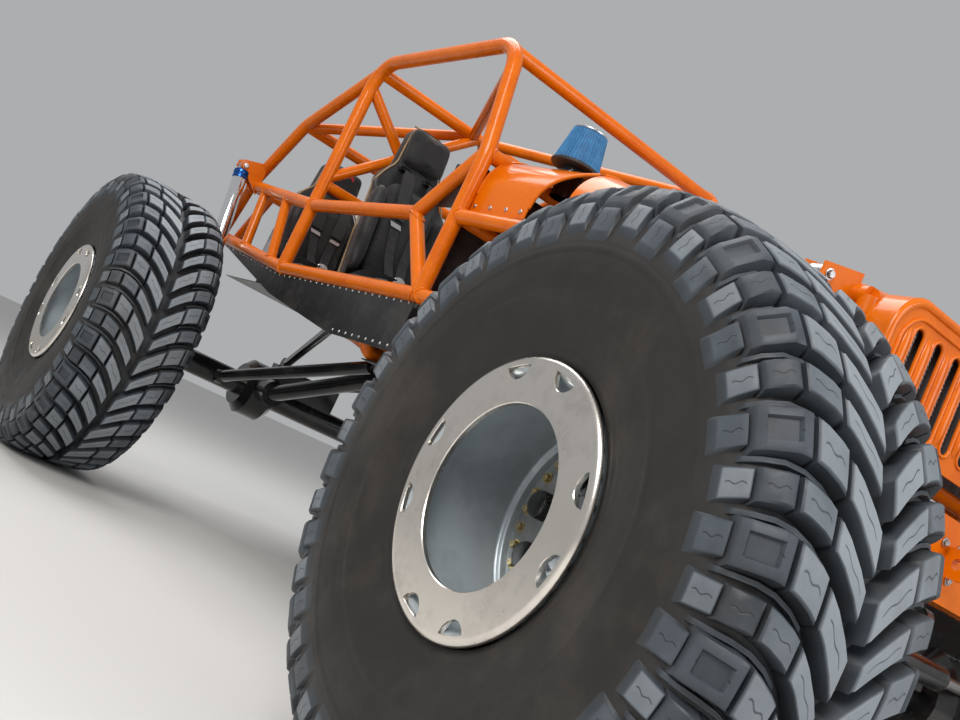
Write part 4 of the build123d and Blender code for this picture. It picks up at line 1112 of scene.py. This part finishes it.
# Rows are: a point on both axes, the branch's way and radius, then the main tube's way and radius.
weld_rows = [
    ((x, pillar_y, low_z), (0, .300, .320), .0285, (0, 0, 1), .031),
    ((x, .310, mid_z), (0, -.300, -.320), .0285, (0, 1, 0), .029),
    ((x, hoop_y, mid_z), (0, -1, 0), .029, (0, 0, 1), .031),
    ((x, hoop_y, mid_z), (0, 1, .1), .029, (0, 0, 1), .031),
    ((x, hoop_y, low_z), (0, -1, 0), .029, (0, 0, 1), .031),
    ((x, pillar_y, low_z), (0, 1, 0), .029, (0, 0, 1), .031),
    ((x, hoop_y, 1.665), (-1, 0, 0), .025, (0, 0, 1), .031),
    ((x, pillar_y, node_z), (-1, 0, 0), .029, (0, .25, 1), .031),
    ((x, pillar_y, mid_z), (-1, 0, 0), .0245, (0, 0, 1), .031),
    ((x, pillar_y, mid_z), (-.165, -1.73, -.058), .0285, (0, 0, 1), .031),
    ((x, pillar_y, low_z), (-.165, -1.73, -.040), .0285, (0, 0, 1), .031),
]
for back, foot in ((.330, .170), (.640, .560), (.865, .955)):
    top = np.array((x, hoop_y + back, rear_mid(back)))
    low = np.array((x, hoop_y + foot, rear_low(foot)))
    weld_rows.append((top, low - top, .024, (0, .885, .09), .029))
    weld_rows.append((low, top - low, .024, (0, 1.15, .13), .029))
beads = [weld(np.array(at) * flip, np.array(way) * flip, radius, np.array(main_way) * flip, main_radius)
         for at, way, radius, main_way, main_radius in weld_rows for flip in ((1, 1, 1), (-1, 1, 1))]
piece("weld_beads", beads, "orange_coat")
print("welds", len(beads))

# %% [markdown]
# ## Small parts
# The engine's hoses, wires and screws, the fuel cell's bands and welds, and the frame's bolts and rivets.

# %% Engine dressing


def tube_run(points, radius, sides=14, steps=40):
    """A hose through a few points, bent smoothly between them."""
    return pipe(smooth_path(points, steps), radius, sides)


lean = math.radians(38)
bank_x, bank_z, cover_reach, screw_reach, screw_off = .150, 1.421, .118, .064, .064
hoses, fittings, wires = [], [], []
for side in (-1, 1):
    up = np.array((side * math.sin(lean), 0, math.cos(lean)))
    hoses.append(tube_run([(side * .06, -1.16, 1.60), (side * .10, -1.28, 1.585), (side * .17, -1.42, 1.51),
                           (side * .20, -1.555, 1.44)], .019))
    for y in -1.08 + .12 * np.arange(4):
        cap = np.array((side * bank_x, y, bank_z)) + cover_reach * up
        fittings.append(placed(cap_screw(.012, .014), turned_to(up, cap)))
        wires.append(tube_run([cap + .008 * up, cap + .045 * up + (0, .01, 0), cap + (side * .07, .03, -.01),
                               cap + (side * .085, .035, -.10)], .0042, 8, 24))
    across = np.array((side * math.cos(lean), 0, -math.sin(lean)))
    for y in np.linspace(-1.11, -.69, 6):
        for off in (-screw_off, screw_off):
            spot = np.array((side * bank_x, y, bank_z)) + screw_reach * up + off * across
            fittings.append(placed(cap_screw(.0055, .007), turned_to(up, spot)))
piece("engine_hoses", hoses, "hand_grip")
piece("engine_wires", wires, "blue_anodised")
piece("engine_fittings", fittings, "bright_steel")
print("engine dressing")

# %% Fuel cell
cell_y, cell_z, cell_half = (2.050, 2.380), (1.329, 1.539), .300
(front, rear), (base, top) = cell_y, cell_z
bands = []
for x in (-.17, .17):
    around = [(x, front - .004, base), (x, front - .004, top - .01), (x, front + .01, top + .004),
              (x, rear - .01, top + .004), (x, rear + .004, top - .01), (x, rear + .004, base)]
    bands.append(flipped(strap(around, .038, .0030)))
    bands.append(placed(cap_screw(.009, .012), turned_to((0, 1, 0), (x, rear + .005, base + .06))))
piece("cell_bands", bands, "black_link")
x = np.linspace(.001 - cell_half, cell_half - .001, 8)
y = np.linspace(front + .005, rear - .005, 8)
z = np.linspace(base + .003, top - .003, 8)
seams = [upright(x, at_y, at_z) for at_z in cell_z for at_y in cell_y]
for at_x in (-cell_half, cell_half):
    seams += [upright(at_x, at_y, z) for at_y in cell_y] + [upright(at_x, y, at_z) for at_z in cell_z]
piece("cell_welds", [pipe(seam, .0042, 8) for seam in seams], "tank_alloy")
filler = [lathe([(.0, 0), (.082, 0), (.083, .004), (.080, .007), (.058, .007), (.058, .026), (.062, .030),
                 (.062, .040), (.058, .044), (.020, .046), (.016, .050), (0, .050)], 48)]
filler += [placed(cap_screw(.0050, .006), shifted_to((.071 * math.cos(a), .071 * math.sin(a), .006)))
           for a in np.linspace(0, 2 * np.pi, 12, endpoint=False)]
piece("cell_filler", [placed(patch, shifted_to((0, 2.19, top))) for patch in filler], "black_link")

# %% Hood lip
across = np.linspace(-.330, .330, 23)
flat_half, shoulder_z, grille_edge = .230, 1.385, 1.5375
shoulder = np.sqrt(cowl_corner ** 2 - np.clip(np.abs(across) - flat_half, 0, None) ** 2)
hood_edge = shoulder_z + shoulder - .0035
rows = [upright(across, y, hood_edge * (1 - share) + grille_edge * share)
        for y, share in zip(np.linspace(-1.696, -1.7475, 5), np.linspace(0, 1, 5) ** 1.4)]
rows += [row - (0, 0, .0025) for row in rows[::-1]]
piece("hood_lip", grid_patch(np.array(rows), close_u=True), "orange_coat")

# %% Bolts and rivets
tab_bolt = bolt(.0075, .0085, 1.5)
spots = [turned_to((0, -1, 0), (side * .26 + x, -2.0515, z))
         for side in (-1, 1) for z in (.94, 1.01) for x in (-.03, .03)]
piece("frame_bolts", placed(tab_bolt, spots), "bright_steel")
rivet = lathe([(.0058, -.001), (.0058, .0008), (.0050, .0022), (.0030, .0032), (0, .0036)], 10)
rivet_x, rivet_pitch, skirt_foot = .598, .058, 1.028
spots = []
for side in (-1, 1):
    rows = [(y, (low_z if y < hoop_y else rear_low(y - hoop_y)) - .0345)
            for y in np.arange(.05, 2.34, rivet_pitch)]
    rows += [(y, skirt_foot) for y in np.arange(.06, .54, rivet_pitch)]
    spots += [turned_to((side, 0, 0), (side * rivet_x, y, z)) for y, z in rows]
piece("skirt_rivets", placed(rivet, spots), "bright_steel")

# %% [markdown]
# ## Camera
# The photograph is taken low, from ahead of the right front wheel, with the camera rolled well over.
# Its place, aim, roll and lens were solved from the tubes, the wheel centre and the clamp ring.

# %% Camera
eye = Vector((-2.507, -3.491, 0.674))
yaw, pitch, roll = (math.radians(a) for a in (57.12, 6.35, 24.99))
ahead = Vector((math.cos(yaw) * math.cos(pitch), math.sin(yaw) * math.cos(pitch), math.sin(pitch)))
level = Vector((math.sin(yaw), -math.cos(yaw), 0))
above = level.cross(ahead)
right = math.cos(roll) * level + math.sin(roll) * above
up = -math.sin(roll) * level + math.cos(roll) * above
camera = bpy.data.objects.new("camera", bpy.data.cameras.new("camera"))
camera.data.sensor_width = 36
camera.data.lens = 1124 / 960 * 36
camera.data.clip_end = 100
camera.matrix_world = Matrix.Translation(eye) @ Matrix((right, up, -ahead)).transposed().to_4x4()
bpy.context.scene.collection.objects.link(camera)
bpy.context.scene.camera = camera

# %% [markdown]
# ## Floor and light
# A pale floor and world, one broad soft lamp from the left of the view, one from the right and one above.

# %% Floor
floor_material = bpy.data.materials.new("pale_floor")
floor_material.use_nodes = True
floor_shader = floor_material.node_tree.nodes["Principled BSDF"]
floor_shader.inputs["Base Color"].default_value = (0.62, 0.61, 0.59, 1)
floor_shader.inputs["Roughness"].default_value = 0.7
floor_mesh = bpy.data.meshes.new("floor")
floor_mesh.from_pydata([(-40, -40, 0), (40, -40, 0), (40, 40, 0), (-40, 40, 0)], [], [(0, 1, 2, 3)])
floor_mesh.materials.append(floor_material)
floor = bpy.data.objects.new("floor", floor_mesh)
bpy.context.scene.collection.objects.link(floor)

# %% Light
world = bpy.data.worlds.new("soft_room")
bpy.context.scene.world = world
world.use_nodes = True
world.node_tree.nodes["Background"].inputs["Color"].default_value = (0.86, 0.88, 0.9, 1)
world.node_tree.nodes["Background"].inputs["Strength"].default_value = 0.48


def lamp(name, place, aim, size, power, colour=(1, 1, 1)):
    """A square soft lamp that looks at a point."""
    light = bpy.data.lights.new(name, "AREA")
    light.size = size
    light.energy = power
    light.color = colour
    thing = bpy.data.objects.new(name, light)
    thing.matrix_world = Matrix(turned_to(Vector(place) - Vector(aim), place).tolist())
    bpy.context.scene.collection.objects.link(thing)


lamp("key", (-6.0, -4.5, 6.0), (0, -0.5, 0.8), 4.0, 520, (1.0, 0.97, 0.93))
lamp("fill", (2.5, -8.0, 4.0), (0, -0.5, 0.8), 4.5, 260, (0.93, 0.96, 1.0))
lamp("top", (-1.0, 3.0, 7.0), (0, 0.5, 1.0), 5.0, 330)
bpy.context.scene.view_settings.view_transform = "Standard"

print("pieces", len(made), "faces", sum(made.values()))
